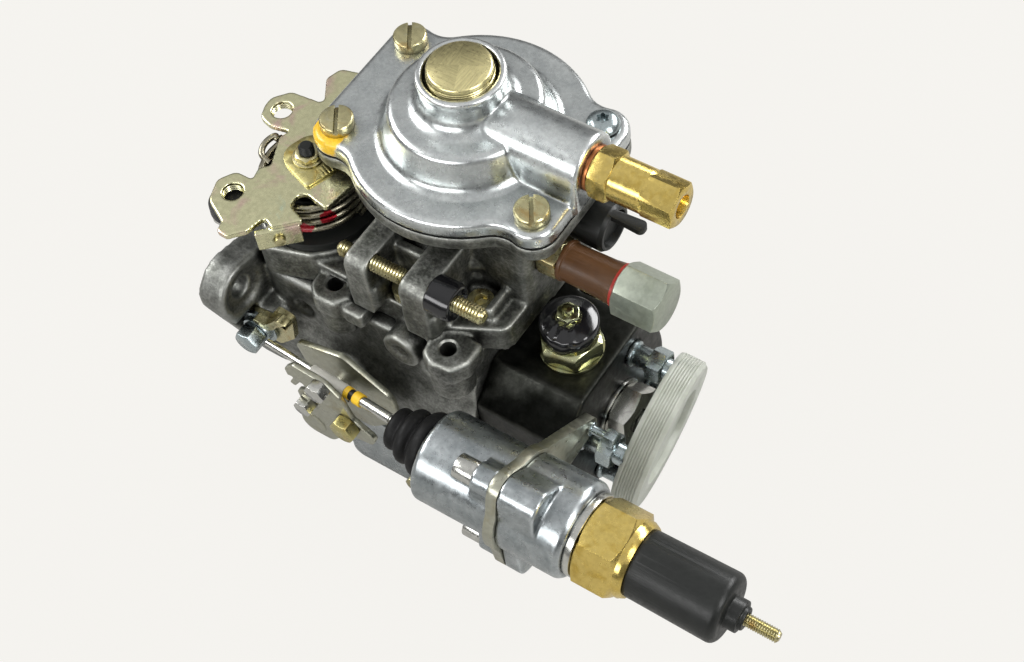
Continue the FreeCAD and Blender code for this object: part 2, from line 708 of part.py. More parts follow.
def boost_cap():
    """Cap casting: lobed flange, swept dome, threaded neck and the air port's boss."""
    base = CAP_TOP_Z - CAP_THICK
    flange = cap_outline(0, base, CAP_TOP_Z)
    flange = softened(flange, CAP_ROUND, lambda edge: level(edge, CAP_TOP_Z))
    flange = softened(flange, BEAD_ROUND, lambda edge: level(edge, base))
    dome = turned("z", CAP_AT, [
        (0, base), (DOME_BASE_R + 1, base), (DOME_BASE_R + 1, CAP_TOP_Z),
        (DOME_BASE_R - 3.0, CAP_TOP_Z + 1.2, "arc"), (DOME_BASE_R - 4.6, CAP_TOP_Z + 4.2),
        (SHOULDER_R, SHOULDER_Z - 2.6), (SHOULDER_R - 1, SHOULDER_Z - 0.7, "arc"),
        (SHOULDER_R - 3, SHOULDER_Z), (21.5, SHOULDER_Z + 0.3),
        (17.2, SHOULDER_Z + 2.3, "arc"), (NECK_R, SHOULDER_Z + 7),
        (NECK_R, RIM_Z - 3.5), (RIM_R, RIM_Z - 2), (RIM_R, RIM_Z - 0.6),
        (RIM_R - 0.6, RIM_Z), (0, RIM_Z)])
    boss = rod("x", PORT_AT, CAP_AT[0] + 10, PORT_END, PORT_BOSS_R)
    skirt = block(CAP_AT[0] + 10, PORT_END, PORT_AT[0] - PORT_BOSS_R,
                  PORT_AT[0] + PORT_BOSS_R, base + 1.4, PORT_AT[1])
    port = fused(boss, skirt)
    port = softened(port, 1.6, lambda edge: abs(edge.BoundBox.XMin - PORT_END) < 1e-4 and
                    edge.BoundBox.XLength < 1e-4 and edge.BoundBox.ZMax > PORT_AT[1])
    keep = block(CAP_AT[0], PORT_END, CAP_AT[1] - CAP_R, CAP_AT[1] + CAP_R, base, RIM_Z)
    body = fused(flange, dome, port.common(keep))
    cuts = [
        rod("z", CAP_AT, PLUG_SEAT_Z + 4.5, RIM_Z, RIM_BORE_R),
        rod("z", CAP_AT, PLUG_SEAT_Z, RIM_Z, PLUG_R),
        rod("z", CAP_AT, base, PLUG_SEAT_Z, PLUG_R - 3),
        rod("z", CAP_AT, base, SHOULDER_Z - 5, CAP_CAVITY_R),
        rod("x", PORT_AT, CAP_AT[0] + 10, PORT_END, PORT_BORE_R),
    ]
    for at in cap_screw_places():
        cuts.append(rod("z", at, base, CAP_TOP_Z, CAP_SCREW_R))
    return body.cut(Part.makeCompound(cuts))


def diaphragm():
    """Rubber diaphragm clamped between the cap and the cover's flange."""
    low = CAP_TOP_Z - CAP_THICK - DIAPHRAGM_THICK
    sheet = cap_outline(0.2, low, low + DIAPHRAGM_THICK)
    cuts = [rod("z", CAP_AT, low, low + 1, BOOST_PLATE_R + FREE)]
    for at in cap_screw_places():
        cuts.append(rod("z", at, low, low + 1, CAP_SCREW_R))
    return sheet.cut(Part.makeCompound(cuts))


def slotted_screw(at):
    """Cheese-head screw that holds the cap down."""
    low = CAP_TOP_Z - CAP_THICK - DIAPHRAGM_THICK - COVER_FLANGE_THICK
    top = CAP_TOP_Z + CAP_SCREW_HEAD
    head = turned("z", at, [(0, CAP_TOP_Z), (CAP_SCREW_HEAD_R, CAP_TOP_Z),
                            (CAP_SCREW_HEAD_R, top - 0.5), (CAP_SCREW_HEAD_R - 0.5, top),
                            (0, top)])
    screw = head.fuse(rod("z", at, low, CAP_TOP_Z, CAP_SCREW_R))
    slot = block(at[0] - 8, at[0] + 8, at[1] - 0.8, at[1] + 0.8, top - 1.9, top)
    slot.rotate(point("z", 0, at), AXIS["z"], 62)
    return screw.cut(slot)


def button_screw(at):
    """Round-head screw with a recessed star drive."""
    low = CAP_TOP_Z - CAP_THICK - DIAPHRAGM_THICK - COVER_FLANGE_THICK
    head = turned("z", at, [(0, CAP_TOP_Z), (6.2, CAP_TOP_Z), (6.2, CAP_TOP_Z + 0.5),
                            (4.9, CAP_TOP_Z + 2.7, "arc"), (2.6, CAP_TOP_Z + 3.5),
                            (2.6, CAP_TOP_Z + 1.2), (0, CAP_TOP_Z + 1.2)])
    return head.fuse(rod("z", at, low, CAP_TOP_Z, CAP_SCREW_R))


def boost_parts():
    """What moves and closes under the cap."""
    low = CAP_TOP_Z - CAP_THICK - DIAPHRAGM_THICK
    plate_z = low + DIAPHRAGM_THICK
    plug = turned("z", CAP_AT, [(0, PLUG_SEAT_Z), (PLUG_R - RUN, PLUG_SEAT_Z),
                                (PLUG_R - RUN, PLUG_TOP_Z - 0.8), (PLUG_R - 0.8, PLUG_TOP_Z),
                                (0, PLUG_TOP_Z)])
    pin = turned("z", CAP_AT, [(0, BOOST_PIN_LOW), (BOOST_PIN_R - 1, BOOST_PIN_LOW),
                               (BOOST_PIN_R, BOOST_PIN_LOW + 8), (BOOST_PIN_R, low), (0, low)])
    plate = turned("z", CAP_AT, [(0, low), (BOOST_PLATE_R, low), (BOOST_PLATE_R, plate_z + 2),
                                 (6, plate_z + 2), (6, plate_z + 5), (0, plate_z + 5)])
    spring = tube("z", CAP_AT, BOOST_CHAMBER_Z, low - FREE, BOOST_SPRING_R, BOOST_SPRING_R - 2)
    places = cap_screw_places()
    add("boost_cap", boost_cap())
    add("diaphragm", diaphragm())
    add("boost_cap_plug", plug)
    add("boost_pin", pin.fuse(plate))
    add("boost_spring", spring)
    add("boost_cap_screws", *[slotted_screw(at) for at in places[:3]])
    add("boost_cap_screws", button_screw(places[3]))


def brass_inlet():
    """Stepped brass union: hexagon, turned waist and a smaller hexagon with a bore."""
    start = PORT_END + 1.6
    spigot = rod("x", PORT_AT, PORT_END - 8, start, PORT_BORE_R - RUN)
    body = fused(spigot, hexagon("x", PORT_AT, start, start + 8, 17.0, 90),
                 turned("x", PORT_AT, [(0, start + 8), (8.2, start + 8), (8.2, start + 20),
                                       (7.4, start + 22), (0, start + 22)]),
                 hexagon("x", PORT_AT, start + 20, start + 33, 15.0, 90))
    body = body.cut(rod("x", PORT_AT, start + 22, start + 33, 4.4))
    washer = tube("x", PORT_AT, PORT_END, start, 8.6, PORT_BORE_R)
    add("brass_inlet", body)
    add("inlet_washer", washer)


def return_fitting():
    """Return connection in the cover's rear face: base, sealing sleeve and hex cap."""
    face = COVER_REAR_X
    end = face + RETURN_SLEEVE_LENGTH
    base = fused(rod("x", RETURN_AT, face - 8, face, 6.0 - RUN),
                 hexagon("x", RETURN_AT, face, face + 8.5, 14.0, 90))
    sleeve = turned("x", RETURN_AT, [(0, face + 8.5), (7.9, face + 8.5), (7.9, face + 10.2),
                                     (7.2, face + 10.2), (7.6, end - 6), (8.3, end), (0, end)])
    cap = hexagon("x", RETURN_AT, end, end + RETURN_CAP_LENGTH, RETURN_FLATS, 78)
    add("return_fitting", base)
    add("return_sleeve", sleeve)
    add("return_cap", cap)


def adjuster_cap():
    """Black tamper cap over the full-load adjusting screw, with its pull tongue."""
    face = COVER_REAR_X
    end = face + ADJUSTER_LENGTH
    y, z = ADJUSTER_AT
    spigot = rod("x", ADJUSTER_AT, face - 12, face, 5.0 - RUN)
    body = turned("x", ADJUSTER_AT, [(0, face), (ADJUSTER_R - 0.6, face),
                                     (ADJUSTER_R, end - 1.5), (ADJUSTER_R - 1, end),
                                     (ADJUSTER_R - 2.2, end), (ADJUSTER_R - 2.2, end - 2.5),
                                     (0, end - 2.5)])
    tongue = rounded([(end - 3, y - 1.5, 0), (end + 13, y - 2.6, 2), (end + 13, y + 2.6, 2),
                      (end - 3, y + 1.5, 0)], z + 6.5, z + 9.0)
    add("adjusting_screws", spigot)
    add("tamper_caps", body.fuse(tongue))


def cover_screws():
    """Socket screws that hold the cover on the housing."""
    screws = []
    for at in COVER_SCREWS:
        top = COVER_DECK_Z + 5
        shank = rod("z", at, DECK_Z - 10, COVER_DECK_Z, COVER_SCREW_R)
        head = rod("z", at, COVER_DECK_Z, top, COVER_SCREW_HEAD_R)
        screws.append(shank.fuse(head).cut(prism("z", at, top - 3, top, 4.5)))
    add("casting_screws", *screws)


def stop_screw():
    """Full-load stop screw with its black tamper collar."""
    screw = turned("x", STOP_AT, [(0, STOP_START), (STOP_R - 0.8, STOP_START),
                                  (STOP_R, STOP_START + 1), (STOP_R, STOP_END - 1),
                                  (STOP_R - 0.8, STOP_END), (0, STOP_END)])
    start = STOP_EARS[1][1]
    collar = turned("x", STOP_AT, [(STOP_R, start), (STOP_COLLAR_R, start),
                                   (STOP_COLLAR_R, start + 6), (STOP_COLLAR_R - 0.9, start + 6.4),
                                   (STOP_COLLAR_R - 0.9, start + 9.6),
                                   (STOP_COLLAR_R - 1.6, start + 10.3), (STOP_R, start + 10.3)])
    add("adjusting_screws", screw)
    add("tamper_caps", collar)


def throttle_lever_plate():
    """Lever plate with two threaded eyes, a spare lobe, a notch and its bent stop tab."""
    top = LEVER_Z + LEVER_PLATE
    plate = rounded([(47, -11, 3), (44.5, -25.2, 1.8), (31.5, -22.6, 3), (32.6, -30.4, 2.6),
                     (41, -33.4, 0.8), (32.4, -41.7, 0.8), (27.4, -39.4, 1.6), (25.6, -47.6, 1.6),
                     (20.6, -53, 1.6), (16, -52.8, 1.4), (14.8, -48.4, 1.2), (4.4, -43, 5),
                     (1.2, -34, 4), (5.2, -27.4, 4), (12.6, -27.4, 1), (11.4, -22.2, 1.4),
                     (14.6, -18.8, 1.4), (9.2, -6.6, 1.6), (10.8, -2.2, 1), (2.4, -3.8, 1),
                     (-3.6, -2.2, 4), (-6, 7, 5), (-0.4, 13.6, 4), (14, 14.9, 1.6),
                     (7.2, 25.4, 3), (9.2, 32, 3.4), (18, 34.2, 4), (36, 22, 10)],
                    LEVER_Z, top)
    holes = [rod("z", THROTTLE_AT, LEVER_Z, top, THROTTLE_SHAFT_R - 1)]
    for eye in LEVER_EYES:
        holes.append(rod("z", eye, LEVER_Z, top, LEVER_EYE_R))
    half = TAB_THICK / 2
    tab = block(-half, half, -TAB_HALF, TAB_HALF, LEVER_Z - TAB_DROP, LEVER_Z + 0.5)
    holes.append(at_tab(rod("x", (0, TAB_BOLT_Z), -half, half, TAB_BOLT_R)))
    return fused(plate, at_tab(tab)).cut(Part.makeCompound(holes))


def at_tab(shape):
    """Shape turned square to the lever's bent tab and moved to it."""
    shape.rotate(VEC(0, 0, 0), AXIS["z"], TAB_TURN)
    shape.translate(VEC(TAB_AT[0], TAB_AT[1], 0))
    return shape


def scale_plate():
    """D-shaped scale plate on top of the lever."""
    low = LEVER_Z + LEVER_PLATE
    top = low + SCALE_THICK
    plate = rounded([(-9, -8.4, 7), (11.6, -8.4, 1), (11.6, 9.4, 1), (-9, 9.4, 7)], low, top)
    plate.rotate(VEC(0, 0, 0), AXIS["z"], -19)
    plate.translate(VEC(THROTTLE_AT[0], THROTTLE_AT[1], 0))
    return plate.cut(rod("z", THROTTLE_AT, low, top, THROTTLE_SHAFT_R - 1))


def throttle_parts():
    """Throttle shaft, lever, scale plate, nut, return spring and its seat."""
    neck_r = THROTTLE_SHAFT_R - 1
    plate_top = LEVER_Z + LEVER_PLATE + SCALE_THICK
    nut_z = plate_top + THROTTLE_WASHER
    stub_r = 2.6
    shaft = turned("z", THROTTLE_AT, [(0, THROTTLE_FOOT_Z), (THROTTLE_SHAFT_R, THROTTLE_FOOT_Z),
                                      (THROTTLE_SHAFT_R, LEVER_Z), (neck_r, LEVER_Z),
                                      (neck_r, plate_top), (stub_r, plate_top),
                                      (stub_r, THROTTLE_TIP_Z - 0.6),
                                      (stub_r - 0.6, THROTTLE_TIP_Z), (0, THROTTLE_TIP_Z)])
    x, y = THROTTLE_AT
    tip = GOV_NEAR_Y + 1
    arm = rounded([(x - 3.5, y - 4, 1), (x + 3.5, y - 4, 1), (x + 2.5, tip, 2.4),
                   (x - 2.5, tip, 2.4)], THROTTLE_FOOT_Z, THROTTLE_FOOT_Z + 2)
    nut = hexagon("z", THROTTLE_AT, nut_z, nut_z + THROTTLE_NUT, THROTTLE_NUT_FLATS)
    washer = rod("z", THROTTLE_AT, plate_top, nut_z, 6.0)
    nut = nut.fuse(washer).cut(rod("z", THROTTLE_AT, plate_top, nut_z + THROTTLE_NUT, stub_r))
    spring = coil(THROTTLE_AT, SEAT_Z + 4.6, LEVER_Z - 0.6, RETURN_COIL_R, RETURN_WIRE_R,
                  RETURN_TURNS)
    seat = turned("z", THROTTLE_AT, [(THROTTLE_BOSS_R, SEAT_Z), (SEAT_R, SEAT_Z),
                                     (SEAT_R, SEAT_Z + 4), (THROTTLE_BOSS_R + 2, SEAT_Z + 4),
                                     (THROTTLE_BOSS_R + 1, SEAT_Z + 20),
                                     (THROTTLE_BOSS_R, SEAT_Z + 20)])
    pad = tube("z", LEVER_EYES[0], LEVER_Z - 6.5, LEVER_Z, 8.6, LEVER_EYE_R)
    add("throttle_shaft", shaft.fuse(arm))
    bolt = tab_bolt()
    add("throttle_lever", throttle_lever_plate())
    add("lever_scale_plate", scale_plate(), bolt)
    add("lever_scale_plate", nut)
    add("throttle_return_spring", spring)
    add("spring_seat", seat)
    add("lever_pad", pad)


def tab_bolt():
    """Small stop bolt through the lever's bent tab, square to it."""
    face = -TAB_THICK / 2
    place = (0, TAB_BOLT_Z)
    return at_tab(fused(hexagon("x", place, face - 3.6, face, TAB_BOLT_FLATS),
                        rod("x", place, face, TAB_THICK / 2 + TAB_BOLT_REACH, TAB_BOLT_R)))


def distributor_head():
    """Distributor head: flange, round body with a flat on top, and the barrel's bore."""
    half = HEAD_FLANGE_HALF
    flange = block(HEAD_FACE, HEAD_FACE + HEAD_FLANGE_THICK, -half, half, -half, half)
    turning = rod("x", DRIVE, HEAD_FACE, HEAD_FACE + HEAD_FLANGE_THICK, half * 1.27)
    body = turned("x", DRIVE, [(0, HEAD_FACE), (HEAD_R, HEAD_FACE), (HEAD_R, HEAD_END - 2),
                               (HEAD_R - 2, HEAD_END), (0, HEAD_END)])
    head = fused(flange.common(turning), body)
    slope_y = HEAD_SLOPE_TOP_Y
    low_y = slope_y - (HEAD_TOP_Z - HEAD_SLOPE_LOW_Z)
    shoulder = across(HEAD_FACE, HEAD_END, [(slope_y, HEAD_TOP_Z), (-slope_y, HEAD_TOP_Z),
                                            (-slope_y, 0), (low_y, 0), (low_y, HEAD_SLOPE_LOW_Z)])
    head = head.fuse(shoulder)
    head = head.cut(block(HEAD_FACE, HEAD_END, -60, 60, HEAD_TOP_Z, 60))
    head = head.cut(across(HEAD_FACE, HEAD_END, [(slope_y, HEAD_TOP_Z), (slope_y, 60), (-60, 60),
                                                 (-60, HEAD_TOP_Z - 60 - slope_y)]))
    cuts = [
        rod("x", DRIVE, HEAD_FACE, PLUNGER_END + 3 + CAM_STROKE, PLUNGER_R + RUN),
        rod("x", DRIVE, PLUNGER_END + 3, HEAD_END, 8.0),
        rod("z", SOLENOID_AT, 12, HEAD_TOP_Z, 8.0),
        rod("x", CLAMP_SCREW_AT, HEAD_END - 12, HEAD_END, CLAMP_SCREW_R),
    ]
    for at in delivery_places():
        cuts.append(rod("x", at, HEAD_END - 12, HEAD_END, 5.0))
    for at in head_screw_places():
        cuts.append(rod("x", at, HEAD_FACE, HEAD_FACE + HEAD_FLANGE_THICK, HEAD_SCREW_R))
        cuts.append(rod("x", at, HEAD_FACE + HEAD_FLANGE_THICK, HEAD_END, 5.6))
    return head.cut(Part.makeCompound(cuts))


def head_parts():
    """Head with its screws, central plug, vent screw, delivery holders and dust cap."""
    screws = []
    seat = HEAD_FACE + HEAD_FLANGE_THICK
    for at in head_screw_places():
        head = rod("x", at, seat, seat + 6, 5.0).cut(prism("x", at, seat + 3, seat + 6, 5.0))
        screws.append(head.fuse(rod("x", at, HEAD_FACE - 9, seat, HEAD_SCREW_R)))
    plug = fused(rod("x", DRIVE, PLUNGER_END + 6, HEAD_END, 8.0),
                 rod("x", DRIVE, HEAD_END, HEAD_END + 1.5, 13.6),
                 hexagon("x", DRIVE, HEAD_END + 1.5, PLUG_END, PLUG_FLATS, 15))
    plug = plug.cut(rod("x", DRIVE, PLUG_END - 8, PLUG_END, 3.0))
    vent = fused(rod("x", DRIVE, PLUG_END - 8, PLUG_END, 3.0),
                 hexagon("x", DRIVE, PLUG_END, PLUG_END + 4, VENT_FLATS))
    holders = []
    for at in delivery_places():
        holder = fused(rod("x", at, HEAD_END - 12, HEAD_END, 5.0),
                       turned("x", at, [(0, HEAD_END), (DELIVERY_RING_R, HEAD_END),
                                        (DELIVERY_RING_R, HEAD_END + 1.6),
                                        (DELIVERY_RING_R - 1, HEAD_END + 2.2),
                                        (DELIVERY_NECK_R, HEAD_END + 2.2),
                                        (DELIVERY_NECK_R, DELIVERY_NECK_END),
                                        (0, DELIVERY_NECK_END)]),
                       hexagon("x", at, DELIVERY_NECK_END, DELIVERY_HEX_END, DELIVERY_FLATS, 20),
                       rod("x", at, DELIVERY_HEX_END, DELIVERY_TIP_END, DELIVERY_TIP_R))
        holders.append(holder.cut(rod("x", at, DELIVERY_TIP_END - 7, DELIVERY_TIP_END, 2.0)))
    add("distributor_head", distributor_head())
    add("casting_screws", *screws)
    add("central_plug", plug)
    add("central_plug", vent)
    add("delivery_valve_holders", *holders)
    add("delivery_dust_cap", dust_cap())


def dust_cap():
    """Ribbed cap closed by a dished face, with a socket for each delivery holder."""
    outline = [(0, DUST_CAP_START + 3), (DUST_CAP_R - 3, DUST_CAP_START + 3),
               (DUST_CAP_R - 3, DUST_CAP_START), (DUST_CAP_R - DUST_CAP_RIB, DUST_CAP_START)]
    step = (DUST_CAP_END - DUST_CAP_START - 2) / DUST_CAP_RIBS
    for k in range(DUST_CAP_RIBS):
        low = DUST_CAP_START + 1 + k * step
        outline += [(DUST_CAP_R, low + 0.3 * step), (DUST_CAP_R, low + 0.7 * step),
                    (DUST_CAP_R - DUST_CAP_RIB, low + step)]
    outline += [(DUST_CAP_R - 1.2, DUST_CAP_END), (DUST_CAP_DISH_R, DUST_CAP_END),
                (DUST_CAP_DISH_R - 1, DUST_CAP_END - DUST_CAP_WALL), (0, DUST_CAP_END - DUST_CAP_WALL)]
    cap = turned("x", DRIVE, outline)
    middle = VEC(DUST_CAP_START, 0, 0)
    cap.rotate(middle, AXIS["z"], DUST_CAP_SWING)
    cap.rotate(middle, AXIS["y"], DUST_CAP_TILT)
    sockets = []
    for at in delivery_places():
        sockets.append(rod("x", at, HEAD_END, DELIVERY_HEX_END + FREE,
                           DELIVERY_FLATS / 2 / math.cos(math.pi / 6) + RUN))
        sockets.append(rod("x", at, DELIVERY_HEX_END, DELIVERY_TIP_END + FREE,
                           DELIVERY_TIP_R + RUN))
    return cap.cut(Part.makeCompound(sockets))


def shutoff_solenoid():
    """Solenoid with its hexagon and seat ring, potted top, terminal and armature."""
    seat = HEAD_TOP_Z
    body = fused(rod("z", SOLENOID_AT, 24, seat, 8.0),
                 rod("z", SOLENOID_AT, seat, seat + 2, SOLENOID_SEAT_R),
                 hexagon("z", SOLENOID_AT, seat + 2, seat + 11, SOLENOID_FLATS, 10),
                 turned("z", SOLENOID_AT, [(0, seat + 11), (SOLENOID_BODY_R, seat + 11),
                                           (SOLENOID_BODY_R, SOLENOID_TOP - 1),
                                           (SOLENOID_BODY_R - 0.8, SOLENOID_TOP),
                                           (0, SOLENOID_TOP)]))
    body = body.cut(rod("z", SOLENOID_AT, 24, seat, SOLENOID_BORE_R + RUN))
    body = body.cut(rod("z", SOLENOID_AT, SOLENOID_TOP - 3, SOLENOID_TOP, SOLENOID_BODY_R - 1.6))
    potting = turned("z", SOLENOID_AT, [(0, SOLENOID_TOP - 3), (SOLENOID_BODY_R - 1.6, SOLENOID_TOP - 3),
                                        (SOLENOID_BODY_R - 1.6, SOLENOID_TOP - 0.4),
                                        (6.5, SOLENOID_TOP + 1.2, "arc"), (0, SOLENOID_TOP + 1.8)])
    nut_z = SOLENOID_TOP + 2
    terminal = fused(hexagon("z", SOLENOID_AT, nut_z, nut_z + 3, 8.0),
                     rod("z", SOLENOID_AT, nut_z, nut_z + 5.5, 2.0),
                     rod("z", SOLENOID_AT, SOLENOID_TOP + 0.4, nut_z, 4.8))
    potting = potting.cut(rod("z", SOLENOID_AT, SOLENOID_TOP + 0.4, nut_z, 4.8))
    armature = turned("z", SOLENOID_AT, [(0, 14.5), (2.5, 14.5), (SOLENOID_BORE_R, 18),
                                         (SOLENOID_BORE_R, seat - SOLENOID_STROKE - 0.2),
                                         (0, seat - SOLENOID_STROKE - 0.2)])
    add("shutoff_solenoid", body)
    add("shutoff_solenoid", potting)
    add("shutoff_solenoid", terminal)
    add("solenoid_armature", armature)


def clamp_plate():
    """Plate that holds the actuator to the head's end face and joins its two castings."""
    y, z = ACTUATOR_AT
    end = HEAD_END + CLAMP_THICK
    solids = [rod("x", ACTUATOR_AT, HEAD_END, end, ACTUATOR_R + 1.5)]
    for ear in CLAMP_BOLTS:
        solids.append(web(ACTUATOR_AT, ACTUATOR_R, ear, CLAMP_EAR_R, HEAD_END, end))
        solids.append(rod("x", ear, HEAD_END, end, CLAMP_EAR_R))
    solids.append(web(ACTUATOR_AT, ACTUATOR_R, CLAMP_SCREW_AT, CLAMP_TIP_R, HEAD_END, end))
    solids.append(rod("x", CLAMP_SCREW_AT, HEAD_END, end, CLAMP_TIP_R))
    plate = fused(*solids)
    plate = plate.cut(rod("x", CLAMP_SCREW_AT, HEAD_END, end, CLAMP_SCREW_R))
    for ear in CLAMP_BOLTS:
        plate = plate.cut(rod("x", ear, HEAD_END, end, CLAMP_BOLT_R))
    return plate


def actuator_parts():
    """Cold-start actuator: two castings on the clamp plate, brass hex, heater and boot."""
    end = HEAD_END + CLAMP_THICK
    body = turned("x", ACTUATOR_AT, [
        (0, ACTUATOR_START - 2), (12, ACTUATOR_START - 2), (14, ACTUATOR_START),
        (ACTUATOR_BODY_R - 1.4, ACTUATOR_START), (ACTUATOR_BODY_R, ACTUATOR_START + 1.4),
        (ACTUATOR_BODY_R, HEAD_END), (0, HEAD_END)])
    body = body.cut(rod("x", ACTUATOR_AT, ACTUATOR_START - 2, HEAD_END - 8, 8.0))
    casting = turned("x", ACTUATOR_AT, [
        (0, end), (ACTUATOR_R, end), (ACTUATOR_R, ACTUATOR_END - 2),
        (ACTUATOR_R - 1.5, ACTUATOR_END), (0, ACTUATOR_END)])
    lobes = []
    for ear in CLAMP_BOLTS:
        deep = end + CLAMP_LOBE_DEPTH[len(lobes) // 2]
        lobes.append(web(ACTUATOR_AT, ACTUATOR_R - 2, ear, CLAMP_EAR_R, end, deep))
        lobes.append(rod("x", ear, end, deep, CLAMP_EAR_R))
    casting = fused(casting, *lobes)
    left = []
    bolts = []
    for ear in CLAMP_BOLTS:
        left.append(web(ACTUATOR_AT, ACTUATOR_R - 6, ear, 5.5, HEAD_END - 8, HEAD_END))
        left.append(rod("x", ear, HEAD_END - 8, HEAD_END, 5.8))
        bolts.append(rod("x", ear, HEAD_END - 16, end + 5, CLAMP_BOLT_R))
        bolts[-1] = bolts[-1].fuse(rod("x", ear, HEAD_END - 16, HEAD_END - 8, 4.8))
        casting = casting.cut(rod("x", ear, end, end + 5, CLAMP_BOLT_R))
    body = fused(body, *left)
    for ear in CLAMP_BOLTS:
        body = body.cut(rod("x", ear, HEAD_END - 8, HEAD_END, CLAMP_BOLT_R))
        body = body.cut(rod("x", ear, HEAD_END - 17, HEAD_END - 8, 4.8 + FREE))
    neck_end = end + CLAMP_SCREW_NECK
    screw = fused(rod("x", CLAMP_SCREW_AT, HEAD_END - 12, neck_end, CLAMP_SCREW_R),
                  rod("x", CLAMP_SCREW_AT, end, end + 1, CLAMP_SCREW_R + 1.2),
                  hexagon("x", CLAMP_SCREW_AT, neck_end, neck_end + 4.6, CLAMP_SCREW_FLATS, 5))
    add("actuator_body", body)
    add("actuator_cover", casting)
    add("side_bolts", *bolts)
    add("actuator_clamp_plate", clamp_plate())
    add("side_bolts", screw)
    add("side_bolts", tube("x", ACTUATOR_AT, ACTUATOR_END, BRASS_START, BRASS_WASHER_R,
                            BRASS_SPIGOT_R))
    brass = fused(rod("x", ACTUATOR_AT, ACTUATOR_END, BRASS_START, BRASS_SPIGOT_R),
                  hexagon("x", ACTUATOR_AT, BRASS_START, BRASS_END - 3.5, BRASS_FLATS, 8),
                  turned("x", ACTUATOR_AT, [(0, BRASS_START), (14.6, BRASS_START),
                                            (14.6, BRASS_END - 2), (13.6, BRASS_END),
                                            (0, BRASS_END)]))
    sleeve = turned("x", ACTUATOR_AT, [
        (0, BRASS_END), (HEATER_R - 0.4, BRASS_END), (HEATER_R, HEATER_END - 3),
        (HEATER_R - 0.9, HEATER_END - 0.9, "arc"), (HEATER_R - 3, HEATER_END),
        (6, HEATER_END), (6, HEATER_END + 4.5), (4.6, HEATER_END + 4.5),
        (4.2, HEATER_END + 6), (0, HEATER_END + 6)])
    sleeve = sleeve.cut(rod("x", ACTUATOR_AT, HEATER_END - 6, HEATER_END + 6, HEATER_STUD_R))
    stud = turned("x", ACTUATOR_AT, [(0, HEATER_END - 6), (HEATER_STUD_R, HEATER_END - 6),
                                     (HEATER_STUD_R, HEATER_STUD_END - 1),
                                     (HEATER_STUD_R - 0.8, HEATER_STUD_END), (0, HEATER_STUD_END)])
    add("brass_hex", brass)
    add("heater_sleeve", sleeve)
    add("heater_stud", stud)
    add("push_rod_boot", boot())


def boot():
    """Rubber boot between the actuator body and the push rod."""
    start = ACTUATOR_START - 2
    return turned("x", BOOT_AT, [
        (8, start), (12.5, start), (13, start - 2), (12.5, start - 6, "arc"),
        (9, start - 9), (7.4, start - 12, "arc"), (7.2, start - 15), (7.2, start - 19),
        (6, start - 19), (6, start - 14)])


def cold_start_parts():
    """Cold-start shaft, its plates and bolts, the push rod and the lever spring."""
    x, z = COLD_PIVOT
    inner = INNER_PLATE_Y
    outer = OUTER_PLATE_Y
    shaft = fused(rod("y", COLD_PIVOT, outer - COLD_PLATE, -30, COLD_SHAFT_R),
                  rod("y", (x + 2.5, z), -30, -26, 2.0))
    stop = cold_plate([(34, 26, 3), (58, 33, 6), (79, 20, 8), (80, 4, 6), (64, -12, 8),
                       (44, -12, 8)], inner)
    stop = stop.cut(rod("y", COLD_PIVOT, inner - COLD_PLATE, inner, COLD_SHAFT_R + FREE))
    lever = cold_plate([(43, 34, 3), (43, 42, 2), (48.5, 48.5, 2.5), (63.5, 46.5, 5),
                        (69.5, 39, 4), (72.5, 24, 4), (82.5, 17, 3), (80.5, 9.5, 3),
                        (70, 8.5, 4), (62, -6, 6), (42, -6, 7), (40, 10, 5)], outer)
    lever = lever.cut(rod("y", COLD_PIVOT, outer - COLD_PLATE, outer, COLD_SHAFT_R))
    spacer = rod("y", COLD_PIVOT, inner, COLD_BOSS_Y, COLD_BOSS_R - 2)
    spacer = spacer.cut(rod("y", COLD_PIVOT, inner, COLD_BOSS_Y, COLD_SHAFT_R + FREE))
    add("cold_start_shaft", shaft)
    add("cold_start_stop_plate", stop.fuse(spacer))
    add("cold_start_lever", lever)
    bolts = []
    for bolt_x, bolt_z, flats in COLD_BOLTS:
        face = outer - COLD_PLATE
        bolts.append(hexagon("y", (bolt_x, bolt_z), face, face - 5, flats))
    add("cold_start_lever_bolts", *bolts)
    start = VEC(*ROD_START)
    along = VEC(*ROD_END) - start
    length = along.Length
    along.normalize()
    sleeve = Part.makeCylinder(ROD_SLEEVE_R, ROD_SLEEVE[1] - ROD_SLEEVE[0],
                               start + along * ROD_SLEEVE[0], along)
    push_rod = Part.makeCylinder(ROD_R, length, start, along)
    add("push_rod", push_rod, sleeve.cut(push_rod))


def cold_plate(points, face):
    """Plate in the XZ plane behind a face, from (x, z, corner radius) points."""
    flat = rounded(points, 0, COLD_PLATE)
    flat.rotate(VEC(0, 0, 0), AXIS["x"], 90)
    flat.translate(VEC(0, face, 0))
    return flat


def bracket_parts():
    """Bent bracket and its flanged bolt on the housing's side."""
    bracket = cold_plate([(8, 12, 3), (22, 12, 3), (31, 22, 2), (33, 36, 3), (25, 37, 3),
                          (20, 28, 4), (8, 27, 4)], -44.0)
    bracket = bracket.cut(rod("y", BRACKET_BOLT_AT, -44.0 - COLD_PLATE, -44.0, 3.0))
    face = -44.0 - COLD_PLATE
    bolt = fused(rod("y", BRACKET_BOLT_AT, -32.0, face, 3.0),
                 rod("y", BRACKET_BOLT_AT, face, face - 1.6, 8.0),
                 rod("y", BRACKET_BOLT_AT, face - 1.6, face - 4, 6.4),
                 hexagon("y", BRACKET_BOLT_AT, face - 4, face - 11, 10.0, 10))
    add("side_bracket", bracket)
    add("side_bolts", bolt)


